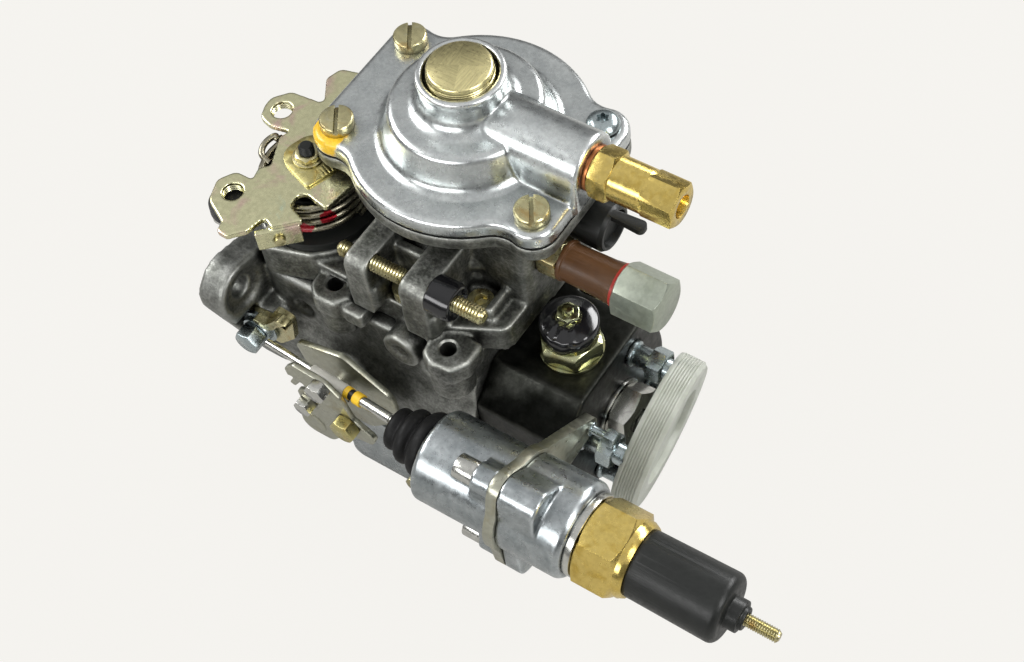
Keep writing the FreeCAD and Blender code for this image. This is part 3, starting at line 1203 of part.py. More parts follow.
def drive_parts():
    """Drive shaft with its key, seal and bush, and the feed pump on it."""
    shaft = turned("x", DRIVE, [
        (0, SHAFT_THREAD_START), (SHAFT_THREAD_R - 0.8, SHAFT_THREAD_START),
        (SHAFT_THREAD_R, SHAFT_THREAD_START + 1), (SHAFT_THREAD_R, SHAFT_TAPER_START),
        (SHAFT_R - 2.5, SHAFT_TAPER_START), (SHAFT_R, SHAFT_TAPER_END),
        (SHAFT_R, CAM_START - 4), (0, CAM_START - 4)])
    key_mid = (SHAFT_TAPER_START + SHAFT_TAPER_END) / 2
    slot = block(key_mid - 6, key_mid + 6, -KEY_WIDTH / 2, KEY_WIDTH / 2, SHAFT_R - 4, SHAFT_R + 2)
    key = block(key_mid - 6, key_mid + 6, -KEY_WIDTH / 2, KEY_WIDTH / 2, SHAFT_R - 4, SHAFT_R + 1)
    seal = tube("x", DRIVE, -5, 3, SHAFT_SEAL_R, SHAFT_R + RUN)
    bush = tube("x", DRIVE, 4, CHAMBER_START, FRONT_BUSH_R, SHAFT_R + RUN)
    ring = tube("x", DRIVE, PUMP_RING_START, PUMP_RING_END, CHAMBER_R, FEED_ROTOR_R + 4)
    rotor = tube("x", DRIVE, PUMP_RING_START + 0.1, PUMP_RING_END - 0.1, FEED_ROTOR_R, SHAFT_R)
    vanes = []
    for k in range(4):
        vane = block(PUMP_RING_START + 0.1, PUMP_RING_END - 0.1, -1, 1, 12, FEED_ROTOR_R + 3.5)
        vane.rotate(VEC(0, 0, 0), AXIS["x"], 45 + 90 * k)
        vanes.append(vane)
    rotor = rotor.cut(Part.makeCompound(vanes))
    cover = tube("x", DRIVE, PUMP_RING_END, PUMP_RING_END + FEED_COVER_THICK, CHAMBER_R,
                 SHAFT_R + FREE)
    cover = cover.cut(block(0, 60, -CHAMBER_R, CHAMBER_R, 27.5, 40))
    gear = tube("x", DRIVE, GEAR_START, GEAR_START + GEAR_THICK, DRIVE_GEAR_R, SHAFT_R)
    add("drive_shaft", shaft.cut(slot))
    add("drive_shaft", key)
    add("shaft_seals", seal)
    add("front_bush", bush)
    add("feed_pump_ring", ring)
    add("feed_pump_rotor", rotor)
    add("feed_pump_rotor", *vanes)
    add("feed_pump_ring", cover)
    add("drive_gear", gear)
    add("shaft_seals", tube("x", DRIVE, *SEAL_GROOVE, PILOT_R - SEAL_SQUEEZE,
                            PILOT_R - SEAL_GROOVE_DEPTH))


def governor_parts():
    """Governor shaft, gear with its flyweight carrier, sleeve, lever and control collar."""
    axis = (0, GOV_AXIS_Z)
    wall = GOV_START
    shaft = rod("x", axis, wall - 8, SLEEVE_END - 4, GOV_SHAFT_R)
    gear = tube("x", axis, GEAR_START, GEAR_START + GEAR_THICK, GOV_GEAR_R, GOV_SHAFT_R + RUN)
    carrier = tube("x", axis, GEAR_START + GEAR_THICK, CARRIER_END, CARRIER_R, CARRIER_R - 1.6)
    floor = tube("x", axis, GEAR_START + GEAR_THICK, GEAR_START + GEAR_THICK + 2, CARRIER_R,
                 GOV_SHAFT_R + RUN)
    weights = []
    for k in range(4):
        weight = block(GEAR_START + GEAR_THICK + 2.2, CARRIER_END - 2, -3.4, 3.4,
                       GOV_AXIS_Z + 6.9, GOV_AXIS_Z + 10.8)
        weight.rotate(point("x", 0, axis), AXIS["x"], 90 * k)
        weights.append(weight)
    sleeve = rod("x", axis, CARRIER_END - 8, SLEEVE_END, SLEEVE_R)
    sleeve = sleeve.cut(rod("x", axis, CARRIER_END - 8, SLEEVE_END - 2, GOV_SHAFT_R + RUN))
    add("governor_pins", shaft)
    add("governor_gear", fused(gear, carrier, floor))
    add("governor_gear", *weights)
    add("governor_sleeve", sleeve)


def sleeve_lever():
    """Governor lever on its pivot pin, with the ball that moves the control collar."""
    start = LEVER_X
    end = LEVER_X + LEVER_THICK
    arm = block(start, end, -7, 7, COLLAR_R + 2, GOV_AXIS_Z + 4)
    tip = SLEEVE_END + 0.2 + FINGER_R
    finger = rod("x", (0, GOV_AXIS_Z), tip, start, FINGER_R)
    finger = finger.fuse(Part.makeSphere(FINGER_R, VEC(tip, 0, GOV_AXIS_Z)))
    ball = Part.makeSphere(BALL_R, VEC((start + end) / 2, 0, COLLAR_R))
    stem = rod("z", ((start + end) / 2, 0), COLLAR_R, COLLAR_R + 3, 1.4)
    boss = rod("y", lever_pivot(), -7, 7, 4.5)
    lever = fused(arm, finger, ball, stem, boss)
    lever = lever.cut(rod("y", lever_pivot(), -7, 7, LEVER_PIN_R + RUN))
    pin = rod("y", lever_pivot(), GOV_NEAR_Y - 2, GOV_FAR_Y + 2, LEVER_PIN_R)
    centre = lever_pivot()[0]
    collar = tube("x", DRIVE, centre - COLLAR_LENGTH / 2, centre + COLLAR_LENGTH / 2, COLLAR_R,
                  PLUNGER_R + RUN)
    groove = tube("x", DRIVE, centre - BALL_R - 0.3, centre + BALL_R + 0.3, COLLAR_R,
                  COLLAR_R - BALL_R - 0.4)
    add("governor_lever", lever)
    add("governor_pins", pin)
    add("control_collar", collar.cut(groove))


def ring_and_cam():
    """Roller ring with its pin, cam plate, plunger and plunger springs."""
    start = TIMING_X - RING_THICK / 2
    end = TIMING_X + RING_THICK / 2
    ring = tube("x", DRIVE, start, end, CHAMBER_R - RUN, RING_BORE_R)
    ring = ring.cut(block(start - 1, end + 1, -CHAMBER_R, CHAMBER_R, 28.6, CHAMBER_R))
    ring = ring.cut(block(start, start + 6, -CHAMBER_R, -24, -8, 18))
    pin = rod("z", (TIMING_X, 0), TIMING_Z + 4, -24, 3.0)
    rollers = []
    for k in range(4):
        angle = math.radians(45 + 90 * k)
        axis = VEC(0, math.cos(angle), math.sin(angle))
        roller = Part.makeCylinder(ROLLER_R, 8, VEC(end - 1, 0, 0) + axis * (RING_BORE_R + 0.5),
                                   axis)
        rollers.append(roller)
    ring = ring.cut(Part.makeCompound(rollers)).cut(pin)
    cam = tube("x", DRIVE, CAM_START, CAM_START + CAM_THICK, CAM_R, PLUNGER_R)
    plunger = rod("x", DRIVE, CAM_START, PLUNGER_END, PLUNGER_R)
    springs = []
    for side in (1, -1):
        at = (side * PLUNGER_SPRING_Y, 0)
        springs.append(tube("x", at, CAM_START + CAM_THICK + 4, HEAD_FACE, PLUNGER_SPRING_R, 3.2))
    add("roller_ring", ring)
    add("rollers_and_pin", *rollers)
    add("rollers_and_pin", pin)
    add("cam_plate", cam)
    add("cam_plate", plunger)
    add("plunger_springs", *springs)


def timing_parts():
    """Advance piston with its spring, and the covers at both ends of the bore."""
    at = (TIMING_X, TIMING_Z)
    piston = rod("y", at, -TIMING_PISTON_HALF, TIMING_PISTON_HALF, TIMING_BORE_R - RUN)
    piston = piston.cut(rod("z", (TIMING_X, 0), TIMING_Z - 3, 0, 5.0))
    floor = TIMING_PISTON_HALF - TIMING_POCKET
    piston = piston.cut(rod("y", at, floor, TIMING_PISTON_HALF, TIMING_SPRING_R + FREE))
    spring = tube("y", at, TIMING_PISTON_HALF + 0.2, TIMING_HALF, TIMING_SPRING_R,
                  TIMING_SPRING_R - 2)
    half = TIMING_COVER_SIDE / 2
    covers = []
    for side in (1, -1):
        inner = side * TIMING_HALF
        outer = side * (TIMING_HALF + TIMING_COVER_THICK)
        plate = block(TIMING_X - half, TIMING_X + half, min(inner, outer), max(inner, outer),
                      TIMING_Z - half, TIMING_Z + half)
        plate = softened(plate, 5.0, lambda edge: edge.BoundBox.YLength > 3 and
                         edge.BoundBox.XLength < 1e-4 and edge.BoundBox.ZLength < 1e-4)
        for spot in timing_screw_places():
            plate = plate.cut(rod("y", spot, inner, outer, 2.5))
        covers.append(plate)
    screws = []
    for spot in timing_screw_places():
        for side in (1, -1):
            face = side * (TIMING_HALF + TIMING_COVER_THICK)
            shank = rod("y", spot, side * (TIMING_HALF - 6), face, 2.5)
            screws.append(shank.fuse(hexagon("y", spot, face, face + side * 3.5, 8.0)))
    add("timing_piston", piston)
    add("timing_spring", spring)
    add("timing_covers", *covers)
    add("casting_screws", *screws)


def main():
    add("pump_housing", pump_housing())
    add("governor_cover", governor_cover())
    cover_screws()
    boost_parts()
    brass_inlet()
    return_fitting()
    adjuster_cap()
    stop_screw()
    throttle_parts()
    head_parts()
    shutoff_solenoid()
    actuator_parts()
    cold_start_parts()
    bracket_parts()
    drive_parts()
    governor_parts()
    sleeve_lever()
    ring_and_cam()
    timing_parts()
    write_pieces()


main()
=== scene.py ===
import json
import math

import bpy
from mathutils import Matrix, Vector

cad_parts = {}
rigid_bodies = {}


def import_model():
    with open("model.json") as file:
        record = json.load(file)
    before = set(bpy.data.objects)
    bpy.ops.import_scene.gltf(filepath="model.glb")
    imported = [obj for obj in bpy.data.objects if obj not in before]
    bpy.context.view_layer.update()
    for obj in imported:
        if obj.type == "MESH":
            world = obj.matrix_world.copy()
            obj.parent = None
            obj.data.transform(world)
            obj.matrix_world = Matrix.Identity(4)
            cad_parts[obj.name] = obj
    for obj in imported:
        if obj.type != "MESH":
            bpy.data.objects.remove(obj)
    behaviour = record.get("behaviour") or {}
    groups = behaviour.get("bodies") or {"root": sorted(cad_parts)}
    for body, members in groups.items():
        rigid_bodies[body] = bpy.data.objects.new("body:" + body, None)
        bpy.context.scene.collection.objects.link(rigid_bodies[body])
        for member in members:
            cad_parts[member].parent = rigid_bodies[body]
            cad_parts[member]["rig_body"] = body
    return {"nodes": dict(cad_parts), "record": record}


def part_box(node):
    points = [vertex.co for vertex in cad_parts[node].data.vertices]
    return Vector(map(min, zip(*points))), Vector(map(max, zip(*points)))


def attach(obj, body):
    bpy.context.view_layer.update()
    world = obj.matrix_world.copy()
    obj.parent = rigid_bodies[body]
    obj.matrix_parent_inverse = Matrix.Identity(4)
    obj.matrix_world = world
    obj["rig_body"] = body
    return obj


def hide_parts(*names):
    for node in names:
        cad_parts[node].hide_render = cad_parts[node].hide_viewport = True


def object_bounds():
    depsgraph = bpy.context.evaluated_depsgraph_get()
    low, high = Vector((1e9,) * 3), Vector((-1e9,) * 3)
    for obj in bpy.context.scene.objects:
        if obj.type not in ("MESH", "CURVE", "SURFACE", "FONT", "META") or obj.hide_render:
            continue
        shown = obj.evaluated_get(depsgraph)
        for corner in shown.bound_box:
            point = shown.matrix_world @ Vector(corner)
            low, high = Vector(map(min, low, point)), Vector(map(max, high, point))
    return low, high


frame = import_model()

bl_info = {
    "name": "Diesel Injection Pump",
    "version": (1, 0, 0),
    "blender": (4, 5, 0),
    "location": "3D View > Sidebar > Injection Pump",
    "description": "Dresses a rotary diesel injection pump, piece by piece",
    "category": "Object",
}

MM = 0.001
SHADE = 35
CAD_BOUNDS = [list(corner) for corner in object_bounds()]


# Stage: the photograph's view, lamps as (name, place, size, power) in metres and watts

CAMERA_LENS = 63.45
SENSOR_WIDTH = 36
CAMERA_TARGET = (0.10216, -0.0013, 0.02178)
LAMP_TARGET = (0.1, 0, 0.03)
FLOOR_SIZE = 6
FLOOR_GAP = 0.0005
FLOOR_GLOW = 0.955
FLOOR_BOUNCE = 0.4
SKY_STRENGTH = 0.75
LAMPS = (
    ("key_light", (-0.75, -0.25, 0.75), (0.7, 0.4), 9.0),
    ("back_light", (0.45, 0.85, 0.55), (0.8, 0.35), 12.0),
    ("side_light", (0.95, -0.15, 0.60), (0.3, 0.7), 6.0),
    ("front_light", (0.0, -0.95, 0.45), (0.9, 0.3), 6.0),
)


# Places, sizes and counts that the frame's boxes don't give, in millimetres and degrees

CAP_CENTRE = (79.0, 20.4)
THROTTLE = (25.4, -9.4)
LEVER_EYES = ((9.9, -35.6), (1.9, 4.6))
PAD_CENTRE = (8.6, -36.8)
CAP_MARK = (36.5, -7.0, 106.5)
SPRING_MARKS = ((41.0, -22.0, 77.5), (33.5, -27.5, 72.5))
STOP_SCREW = (-31.0, 78.6)
COVER_BOSSES = ((48.0, -33.5), (101.2, -36.3))
BOSS_TOP = 55.0
COVER_TUBE = (81.0, 43.0)
SOLENOID = (131.5, -3.0)
SOLENOID_RIM = 53.0
SOLENOID_R = 10.9
ROD_FROM = (24.0, -54.0, 24.0)
ROD_TO = (119.0, -64.5, 34.5)
COLD_PIVOT = (50.0, 2.0)
NUT_WIDTH = 16
ROD_LENGTH = 50
SLOT_TURN = 62
SCALE_TURN = -19
SCALE_RIM = 11.2
SCALE_LINE = 0.14
EYE_BORE_R = 4.1
SPRING_WIRE_R = 1.45
SPRING_TURNS = 4
WIRE_SIDES = 10


def high_of(node):
    """Top of a node's box, in millimetres."""
    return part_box(node)[1][2] / MM


# Selecting and finishing

def only(piece):
    """Leave one object selected and active, in object mode."""
    if bpy.context.object and bpy.context.object.mode != "OBJECT":
        bpy.ops.object.mode_set(mode="OBJECT")
    bpy.ops.object.select_all(action="DESELECT")
    piece.select_set(True)
    bpy.context.view_layer.objects.active = piece


def settle(piece):
    """Put an object's place, turn and size into its mesh."""
    only(piece)
    bpy.ops.object.transform_apply(location=True, rotation=True, scale=True)


def modify(piece, kind, **settings):
    """Add a modifier with these settings and apply it."""
    only(piece)
    step = piece.modifiers.new(kind.title(), kind)
    for key, value in settings.items():
        setattr(step, key, value)
    bpy.ops.object.modifier_apply(modifier=step.name)


def smooth(piece, angle=SHADE):
    """Shade smooth, with sharp edges above an angle."""
    only(piece)
    bpy.ops.object.shade_smooth_by_angle(angle=math.radians(angle))


def wear(piece, material, body):
    """Give a piece its finish, its slot and the body that it rides on."""
    piece.data.materials.clear()
    piece.data.materials.append(material)
    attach(piece, body)


def copy_of(node, name):
    """Merged copy of a frame node's mesh."""
    source = frame["nodes"][node]
    only(source)
    bpy.ops.object.duplicate()
    piece = bpy.context.object
    piece.name = name
    piece.data.name = name
    for key in list(piece.keys()):
        del piece[key]
    piece.parent = None
    bpy.ops.mesh.customdata_custom_splitnormals_clear()
    bpy.ops.object.mode_set(mode="EDIT")
    bpy.ops.mesh.select_all(action="SELECT")
    bpy.ops.mesh.remove_doubles(threshold=1e-6)
    bpy.ops.mesh.dissolve_limited(angle_limit=math.radians(0.5))
    bpy.ops.object.mode_set(mode="OBJECT")
    return piece


def body_of(node):
    """Body that a node moves with."""
    return frame["nodes"][node]["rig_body"]


def slot_of(node):
    """Material slot that the record gives a node."""
    for part in frame["record"]["subparts"]:
        if part["node"] == node:
            return part["material_slot"]


def islands(node, name):
    """Each separate solid of a node as a piece of its own."""
    only(copy_of(node, name))
    bpy.ops.mesh.separate(type="LOOSE")
    return list(bpy.context.selected_objects)


def centre_of(piece):
    """Middle of a piece's box, in millimetres."""
    corners = [Vector(corner) for corner in piece.bound_box]
    low = Vector(min(corner[i] for corner in corners) for i in range(3))
    high = Vector(max(corner[i] for corner in corners) for i in range(3))
    return (low + high) / 2 / MM


def middle_of(node):
    """The y and z of the middle of a node's box, in millimetres."""
    low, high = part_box(node)
    return (low[1] + high[1]) / 2 / MM, (low[2] + high[2]) / 2 / MM


def broken(piece, edge, angle=35, segments=2):
    """Break the corners that are sharper than an angle, by a width in millimetres."""
    modify(piece, "BEVEL", width=edge * MM, segments=segments, limit_method="ANGLE",
           angle_limit=math.radians(angle))


def stand_in(piece, node, finish, edge=0.25):
    """Break a piece's corners, finish it and let it stand for a node."""
    if edge:
        broken(piece, edge)
        smooth(piece)
    wear(piece, FINISH[finish], body_of(node))
    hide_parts(node)
    return piece


def machined(node, finish, edge=0.25):
    """Node with its corners broken, as turning and milling leave them."""
    stand_in(copy_of(node, node + "_finish"), node, finish, edge)


def melted(piece, voxel, passes):
    """Melt a piece's overlapping solids into one skin and soften it."""
    modify(piece, "REMESH", mode="VOXEL", voxel_size=voxel * MM, use_smooth_shade=True)
    modify(piece, "SMOOTH", factor=0.5, iterations=passes)


def cast(node, finish, voxel, passes=6, more=()):
    """Node with the soft corners and fillets of a casting, and more forms melted into it."""
    piece = joined(copy_of(node, node + "_casting"), *more)
    melted(piece, voxel, passes)
    return stand_in(piece, node, finish, edge=0)


# Shaping

TURN_TO = {"x": (0, math.pi / 2, 0), "y": (-math.pi / 2, 0, 0), "z": (0, 0, 0)}


def sealed(piece, merge, angle, cap=None):
    """Merge a swept piece's doubles, close its ends with cap and shade it."""
    only(piece)
    bpy.ops.object.mode_set(mode="EDIT")
    bpy.ops.mesh.select_all(action="SELECT")
    bpy.ops.mesh.remove_doubles(threshold=merge)
    if cap:
        cap()
    bpy.ops.mesh.select_all(action="SELECT")
    bpy.ops.mesh.normals_make_consistent(inside=False)
    bpy.ops.object.mode_set(mode="OBJECT")
    if angle:
        smooth(piece, angle)
    return piece


def spot_on(direction, along, at):
    """World place, in metres, from millimetres along an axis and the two other values."""
    if direction == "x":
        return Vector((along, at[0], at[1])) * MM
    if direction == "y":
        return Vector((at[0], along, at[1])) * MM
    return Vector((at[0], at[1], along)) * MM


def lathe(name, direction, at, profile, sides, angle=None):
    """Turned piece: a disc drawn out ring by ring to (radius, along) places, in millimetres."""
    bpy.ops.object.select_all(action="DESELECT")
    radius, along = profile[0]
    centre = spot_on(direction, along, at)
    bpy.ops.mesh.primitive_circle_add(vertices=sides, radius=radius * MM, fill_type="NGON",
                                      location=centre, rotation=TURN_TO[direction])
    piece = bpy.context.object
    piece.name = name
    settle(piece)
    bpy.ops.object.mode_set(mode="EDIT")
    bpy.ops.mesh.select_all(action="SELECT")
    for (r0, a0), (r1, a1) in zip(profile, profile[1:]):
        step = spot_on(direction, a1, at) - spot_on(direction, a0, at)
        bpy.ops.mesh.extrude_region_move(TRANSFORM_OT_translate={"value": step})
        size = max(r1, 0.001) / max(r0, 0.001)
        bpy.ops.transform.resize(value=(size, size, size),
                                 center_override=spot_on(direction, a1, at))
    return sealed(piece, 2e-6, angle)


def helix(name, direction, at, start, radius, thick, corners, pitch, turns, steps):
    """Ring of so many corners, carried round an axis and along it."""
    bpy.ops.object.select_all(action="DESELECT")
    bpy.ops.mesh.primitive_circle_add(vertices=corners, radius=thick * MM,
                                      location=(radius * MM, 0, 0), rotation=(math.pi / 2, 0, 0))
    piece = bpy.context.object
    piece.name = name
    settle(piece)
    modify(piece, "SCREW", axis="Z", screw_offset=pitch * MM, steps=steps, render_steps=steps,
           iterations=turns)
    piece.rotation_euler = TURN_TO[direction]
    piece.location = spot_on(direction, start, at)
    settle(piece)
    return piece


def join_ends():
    """One face over the open ends."""
    bpy.ops.mesh.select_all(action="DESELECT")
    bpy.ops.mesh.select_non_manifold()
    bpy.ops.mesh.edge_face_add()


def thread(name, direction, at, start, end, radius, pitch, depth, sides=28):
    """Thread ridge: a small diamond carried round a helix."""
    turns = max(1, round((end - start) / pitch))
    piece = helix(name, direction, at, start, radius, depth, 4, pitch, turns, sides)
    return sealed(piece, 1e-6, 40, join_ends)


def winding(name, at, start, radius, thick, pitch, turns):
    """Round wire wound upwards as a helix."""
    piece = helix(name, "z", at, start, radius, thick, WIRE_SIDES, pitch, turns, 44)
    return sealed(piece, 1e-6, 60, lambda: bpy.ops.mesh.fill_holes(sides=WIRE_SIDES + 2))


def rounded_line(corners, steps):
    """Outline with each (a, b, radius) corner turned into an arc of this many steps."""
    outline = []
    count = len(corners)
    for i in range(count):
        here = Vector(corners[i][:2])
        before = Vector(corners[i - 1][:2]) - here
        after = Vector(corners[(i + 1) % count][:2]) - here
        before.normalize()
        after.normalize()
        half = before.angle(after) / 2
        radius = corners[i][2]
        if radius == 0:
            outline.append(tuple(here))
            continue
        centre = here + (before + after).normalized() * (radius / math.sin(half))
        first = here + before * (radius / math.tan(half)) - centre
        last = here + after * (radius / math.tan(half)) - centre
        sweep = first.angle_signed(last)
        for k in range(steps + 1):
            turn = Matrix.Rotation(-sweep * k / steps, 2)
            outline.append(tuple(centre + turn @ first))
    return outline


def wire(name, places, radius, smooth_turns=True):
    """Round wire through places in millimetres."""
    curve = bpy.data.curves.new(name, "CURVE")
    curve.dimensions = "3D"
    line = curve.splines.new("NURBS" if smooth_turns else "POLY")
    line.points.add(len(places) - 1)
    for point, place in zip(line.points, places):
        point.co = (*(Vector(place) * MM), 1)
    if smooth_turns:
        line.order_u = 3
        line.use_endpoint_u = True
    line.resolution_u = 10
    curve.bevel_depth = radius * MM
    curve.bevel_resolution = 5
    curve.use_fill_caps = True
    holder = bpy.data.objects.new(name, curve)
    bpy.context.scene.collection.objects.link(holder)
    only(holder)
    bpy.ops.object.convert(target="MESH")
    piece = bpy.context.object
    smooth(piece, 60)
    return piece


def plate(name, outline, low, high, edge, direction="z"):
    """Flat plate from an outline in millimetres, its thickness extruded and its rim broken."""
    bpy.ops.object.select_all(action="DESELECT")
    bpy.ops.mesh.primitive_circle_add(vertices=len(outline), radius=MM, fill_type="NGON")
    piece = bpy.context.object
    piece.name = name
    for vertex, spot in zip(piece.data.vertices, outline):
        vertex.co = spot_on(direction, low, spot)
    bpy.ops.object.mode_set(mode="EDIT")
    bpy.ops.mesh.select_all(action="SELECT")
    step = spot_on(direction, high, (0, 0)) - spot_on(direction, low, (0, 0))
    bpy.ops.mesh.extrude_region_move(TRANSFORM_OT_translate={"value": step})
    bpy.ops.mesh.select_all(action="SELECT")
    bpy.ops.mesh.normals_make_consistent(inside=False)
    bpy.ops.object.mode_set(mode="OBJECT")
    if edge:
        broken(piece, edge, 30, 3)
    smooth(piece)
    return piece


def block(name, corner, other, edge):
    """Block between two corners in millimetres, its edges broken."""
    bpy.ops.object.select_all(action="DESELECT")
    low = Vector(corner) * MM
    high = Vector(other) * MM
    bpy.ops.mesh.primitive_cube_add(size=1, location=(low + high) / 2, scale=high - low)
    piece = bpy.context.object
    piece.name = name
    settle(piece)
    if edge:
        modify(piece, "BEVEL", width=edge * MM, segments=3)
    smooth(piece)
    return piece


def turned_about(piece, centre, axis, degrees):
    """Turn a piece about a line through a place in millimetres, into its mesh."""
    middle = Vector(centre) * MM
    turn = Matrix.Rotation(math.radians(degrees), 4, Vector(axis))
    piece.matrix_world = Matrix.Translation(middle) @ turn @ Matrix.Translation(-middle)
    settle(piece)


def joined(first, *others):
    """One object from several."""
    only(first)
    for piece in others:
        piece.select_set(True)
    bpy.ops.object.join()
    return first


def carve(piece, tool):
    """Cut a tool piece out of a piece; the tool is used up."""
    modify(piece, "BOOLEAN", object=tool, operation="DIFFERENCE", solver="EXACT")
    bpy.data.objects.remove(tool)


# Finishes

def blank(name, metal=0.0):
    """New material with its tree and shader."""
    material = bpy.data.materials.new(name)
    material.use_nodes = True
    tree = material.node_tree
    shader = tree.nodes["Principled BSDF"]
    shader.inputs["Metallic"].default_value = metal
    return material, tree, shader


def figure(tree, operation, *values):
    """Result of a math node that is fed with links and plain values."""
    node = tree.nodes.new("ShaderNodeMath")
    node.operation = operation
    for socket, value in zip(node.inputs, values):
        if hasattr(value, "node"):
            tree.links.new(value, socket)
        else:
            socket.default_value = value
    return node.outputs["Value"]


def dress(tree, shader, skin, size, rough):
    """Feed the shader's colour, and a roughness that drifts between two values."""
    tree.links.new(skin, shader.inputs["Base Color"])
    gloss = ramp(tree, noise(tree, size, 4, 0.6), (0.3, rough[0]), (0.7, rough[1]))
    tree.links.new(gloss, shader.inputs["Roughness"])


def coords(tree, stretch, shift=(0, 0, 0), turn=(0, 0, 0)):
    """The object's own coordinates, mapped."""
    place = tree.nodes.new("ShaderNodeTexCoord")
    mapping = tree.nodes.new("ShaderNodeMapping")
    mapping.inputs["Location"].default_value = shift
    mapping.inputs["Rotation"].default_value = turn
    mapping.inputs["Scale"].default_value = stretch
    tree.links.new(place.outputs["Object"], mapping.inputs["Vector"])
    return mapping.outputs["Vector"]


def noise(tree, size, detail, rough, stretch=(1, 1, 1), warp=0.0):
    """Noise whose features are about this many millimetres."""
    node = tree.nodes.new("ShaderNodeTexNoise")
    node.inputs["Scale"].default_value = 1000.0 / size
    node.inputs["Detail"].default_value = detail
    node.inputs["Roughness"].default_value = rough
    node.inputs["Distortion"].default_value = warp
    tree.links.new(coords(tree, stretch), node.inputs["Vector"])
    return node.outputs["Fac"]


def ramp(tree, source, *stops):
    """Colour ramp from (place, colour) stops; a colour may be one grey value."""
    node = tree.nodes.new("ShaderNodeValToRGB")
    band = node.color_ramp
    while len(band.elements) < len(stops):
        band.elements.new(0.5)
    for element, (place, colour) in zip(band.elements, stops):
        element.position = place
        if not hasattr(colour, "__len__"):
            colour = (colour, colour, colour)
        element.color = (*colour[:3], 1)
    tree.links.new(source, node.inputs["Fac"])
    return node.outputs["Color"]


def blend(tree, share, first, second, mode="MIX"):
    """Mix of two colours or greys, each a link or a plain value."""
    node = tree.nodes.new("ShaderNodeMix")
    node.data_type = "RGBA"
    node.blend_type = mode
    sockets = node.inputs[0], node.inputs[6], node.inputs[7]
    for socket, value in zip(sockets, (share, first, second)):
        if hasattr(value, "node"):
            tree.links.new(value, socket)
        elif hasattr(value, "__len__"):
            socket.default_value = (*value[:3], 1)
        else:
            socket.default_value = value
    return node.outputs[2]


def relief(tree, shader, *layers):
    """Chain bumps of (height, depth in mm, strength) and feed the shader's normal."""
    last = None
    for height, depth, strength in layers:
        node = tree.nodes.new("ShaderNodeBump")
        node.inputs["Distance"].default_value = depth * MM
        node.inputs["Strength"].default_value = strength
        tree.links.new(height, node.inputs["Height"])
        if last:
            tree.links.new(last, node.inputs["Normal"])
        last = node.outputs["Normal"]
    tree.links.new(last, shader.inputs["Normal"])


def worn(tree):
    """High on convex corners, from the mesh's own shape."""
    return tree.nodes.new("ShaderNodeNewGeometry").outputs["Pointiness"]


def occlusion_shade(tree, reach):
    """Painted shade: low in hollows narrower than this many millimetres, from ambient occlusion."""
    node = tree.nodes.new("ShaderNodeAmbientOcclusion")
    node.inputs["Distance"].default_value = reach * MM
    node.samples = 6
    return node.outputs["AO"]


def paint_mark(tree, skin, shader, centre, reach, colour):
    """Brushed paint mark round a place in millimetres, over the skin's colour."""
    place = tree.nodes.new("ShaderNodeTexCoord")
    apart = tree.nodes.new("ShaderNodeVectorMath")
    apart.operation = "DISTANCE"
    apart.inputs[1].default_value = Vector(centre) * MM
    tree.links.new(place.outputs["Object"], apart.inputs[0])
    ragged = figure(tree, "MULTIPLY_ADD", noise(tree, reach * 0.8, 3, 0.6), reach * MM * 0.9,
                    apart.outputs["Value"])
    scaled = figure(tree, "DIVIDE", ragged, reach * MM * 2)
    mask = ramp(tree, scaled, (0.66, 1.0), (0.72, 0.0))
    streaks = ramp(tree, noise(tree, 1.5, 4, 0.7), (0.3, 0.7), (0.6, 1.0))
    paint = blend(tree, 1.0, colour, streaks, "MULTIPLY")
    tree.links.new(figure(tree, "SUBTRACT", 1.0, mask), shader.inputs["Metallic"])
    return blend(tree, mask, skin, paint)


def cast_metal(name, dark, light, rough, grain, depth, shade_depth, edge, speck=0.86, marks=()):
    """Cast aluminium: mottled skin, fine grain, bright corners and painted shade in the hollows."""
    material, tree, shader = blank(name, metal=1.0)
    skin = ramp(tree, noise(tree, 7, 5, 0.6), (0.35, dark), (0.65, light))
    spots = ramp(tree, noise(tree, 1.3, 4, 0.7), (0.42, speck), (0.6, 1.0))
    skin = blend(tree, 1.0, skin, spots, "MULTIPLY")
    high = ramp(tree, worn(tree), (0.5, 0.0), (0.5 + edge, 1.0))
    bright = tuple(min(1.0, value * 1.5) for value in light)
    skin = blend(tree, high, skin, bright)
    # painted shade: the colour is darkened in the hollows, where shade falls
    hollow_shade = ramp(tree, occlusion_shade(tree, 6), (0.3, shade_depth), (0.9, 1.0))
    skin = blend(tree, 1.0, skin, hollow_shade, "MULTIPLY")
    for centre, reach, colour in marks:
        skin = paint_mark(tree, skin, shader, centre, reach, colour)
    dress(tree, shader, skin, 2.5, rough)
    relief(tree, shader, (noise(tree, grain, 3, 0.6), depth, 0.8),
           (noise(tree, 9, 3, 0.5), depth * 4, 0.5))
    return material


def plated(name, base, tint, other, rough=(0.22, 0.38), size=6.0, marks=()):
    """Zinc plate over steel: drifting iridescent tints over a bright base, and painted shade in the
    hollows.
    """
    material, tree, shader = blank(name, metal=1.0)
    drift = noise(tree, size, 3, 0.6, warp=0.6)
    skin = ramp(tree, drift, (0.3, tint), (0.48, base), (0.62, base), (0.78, other))
    spots = ramp(tree, noise(tree, 1.8, 4, 0.6), (0.4, 0.88), (0.6, 1.0))
    skin = blend(tree, 1.0, skin, spots, "MULTIPLY")
    # painted shade: the colour is darkened in the hollows, where shade falls
    hollow_shade = ramp(tree, occlusion_shade(tree, 2.5), (0.2, 0.35), (0.8, 1.0))
    skin = blend(tree, 1.0, skin, hollow_shade, "MULTIPLY")
    for centre, reach, colour in marks:
        skin = paint_mark(tree, skin, shader, centre, reach, colour)
    dress(tree, shader, skin, 2.0, rough)
    relief(tree, shader, (noise(tree, 0.4, 3, 0.6), 0.004, 0.6),
           (noise(tree, 4, 2, 0.5), 0.03, 0.4))
    return material


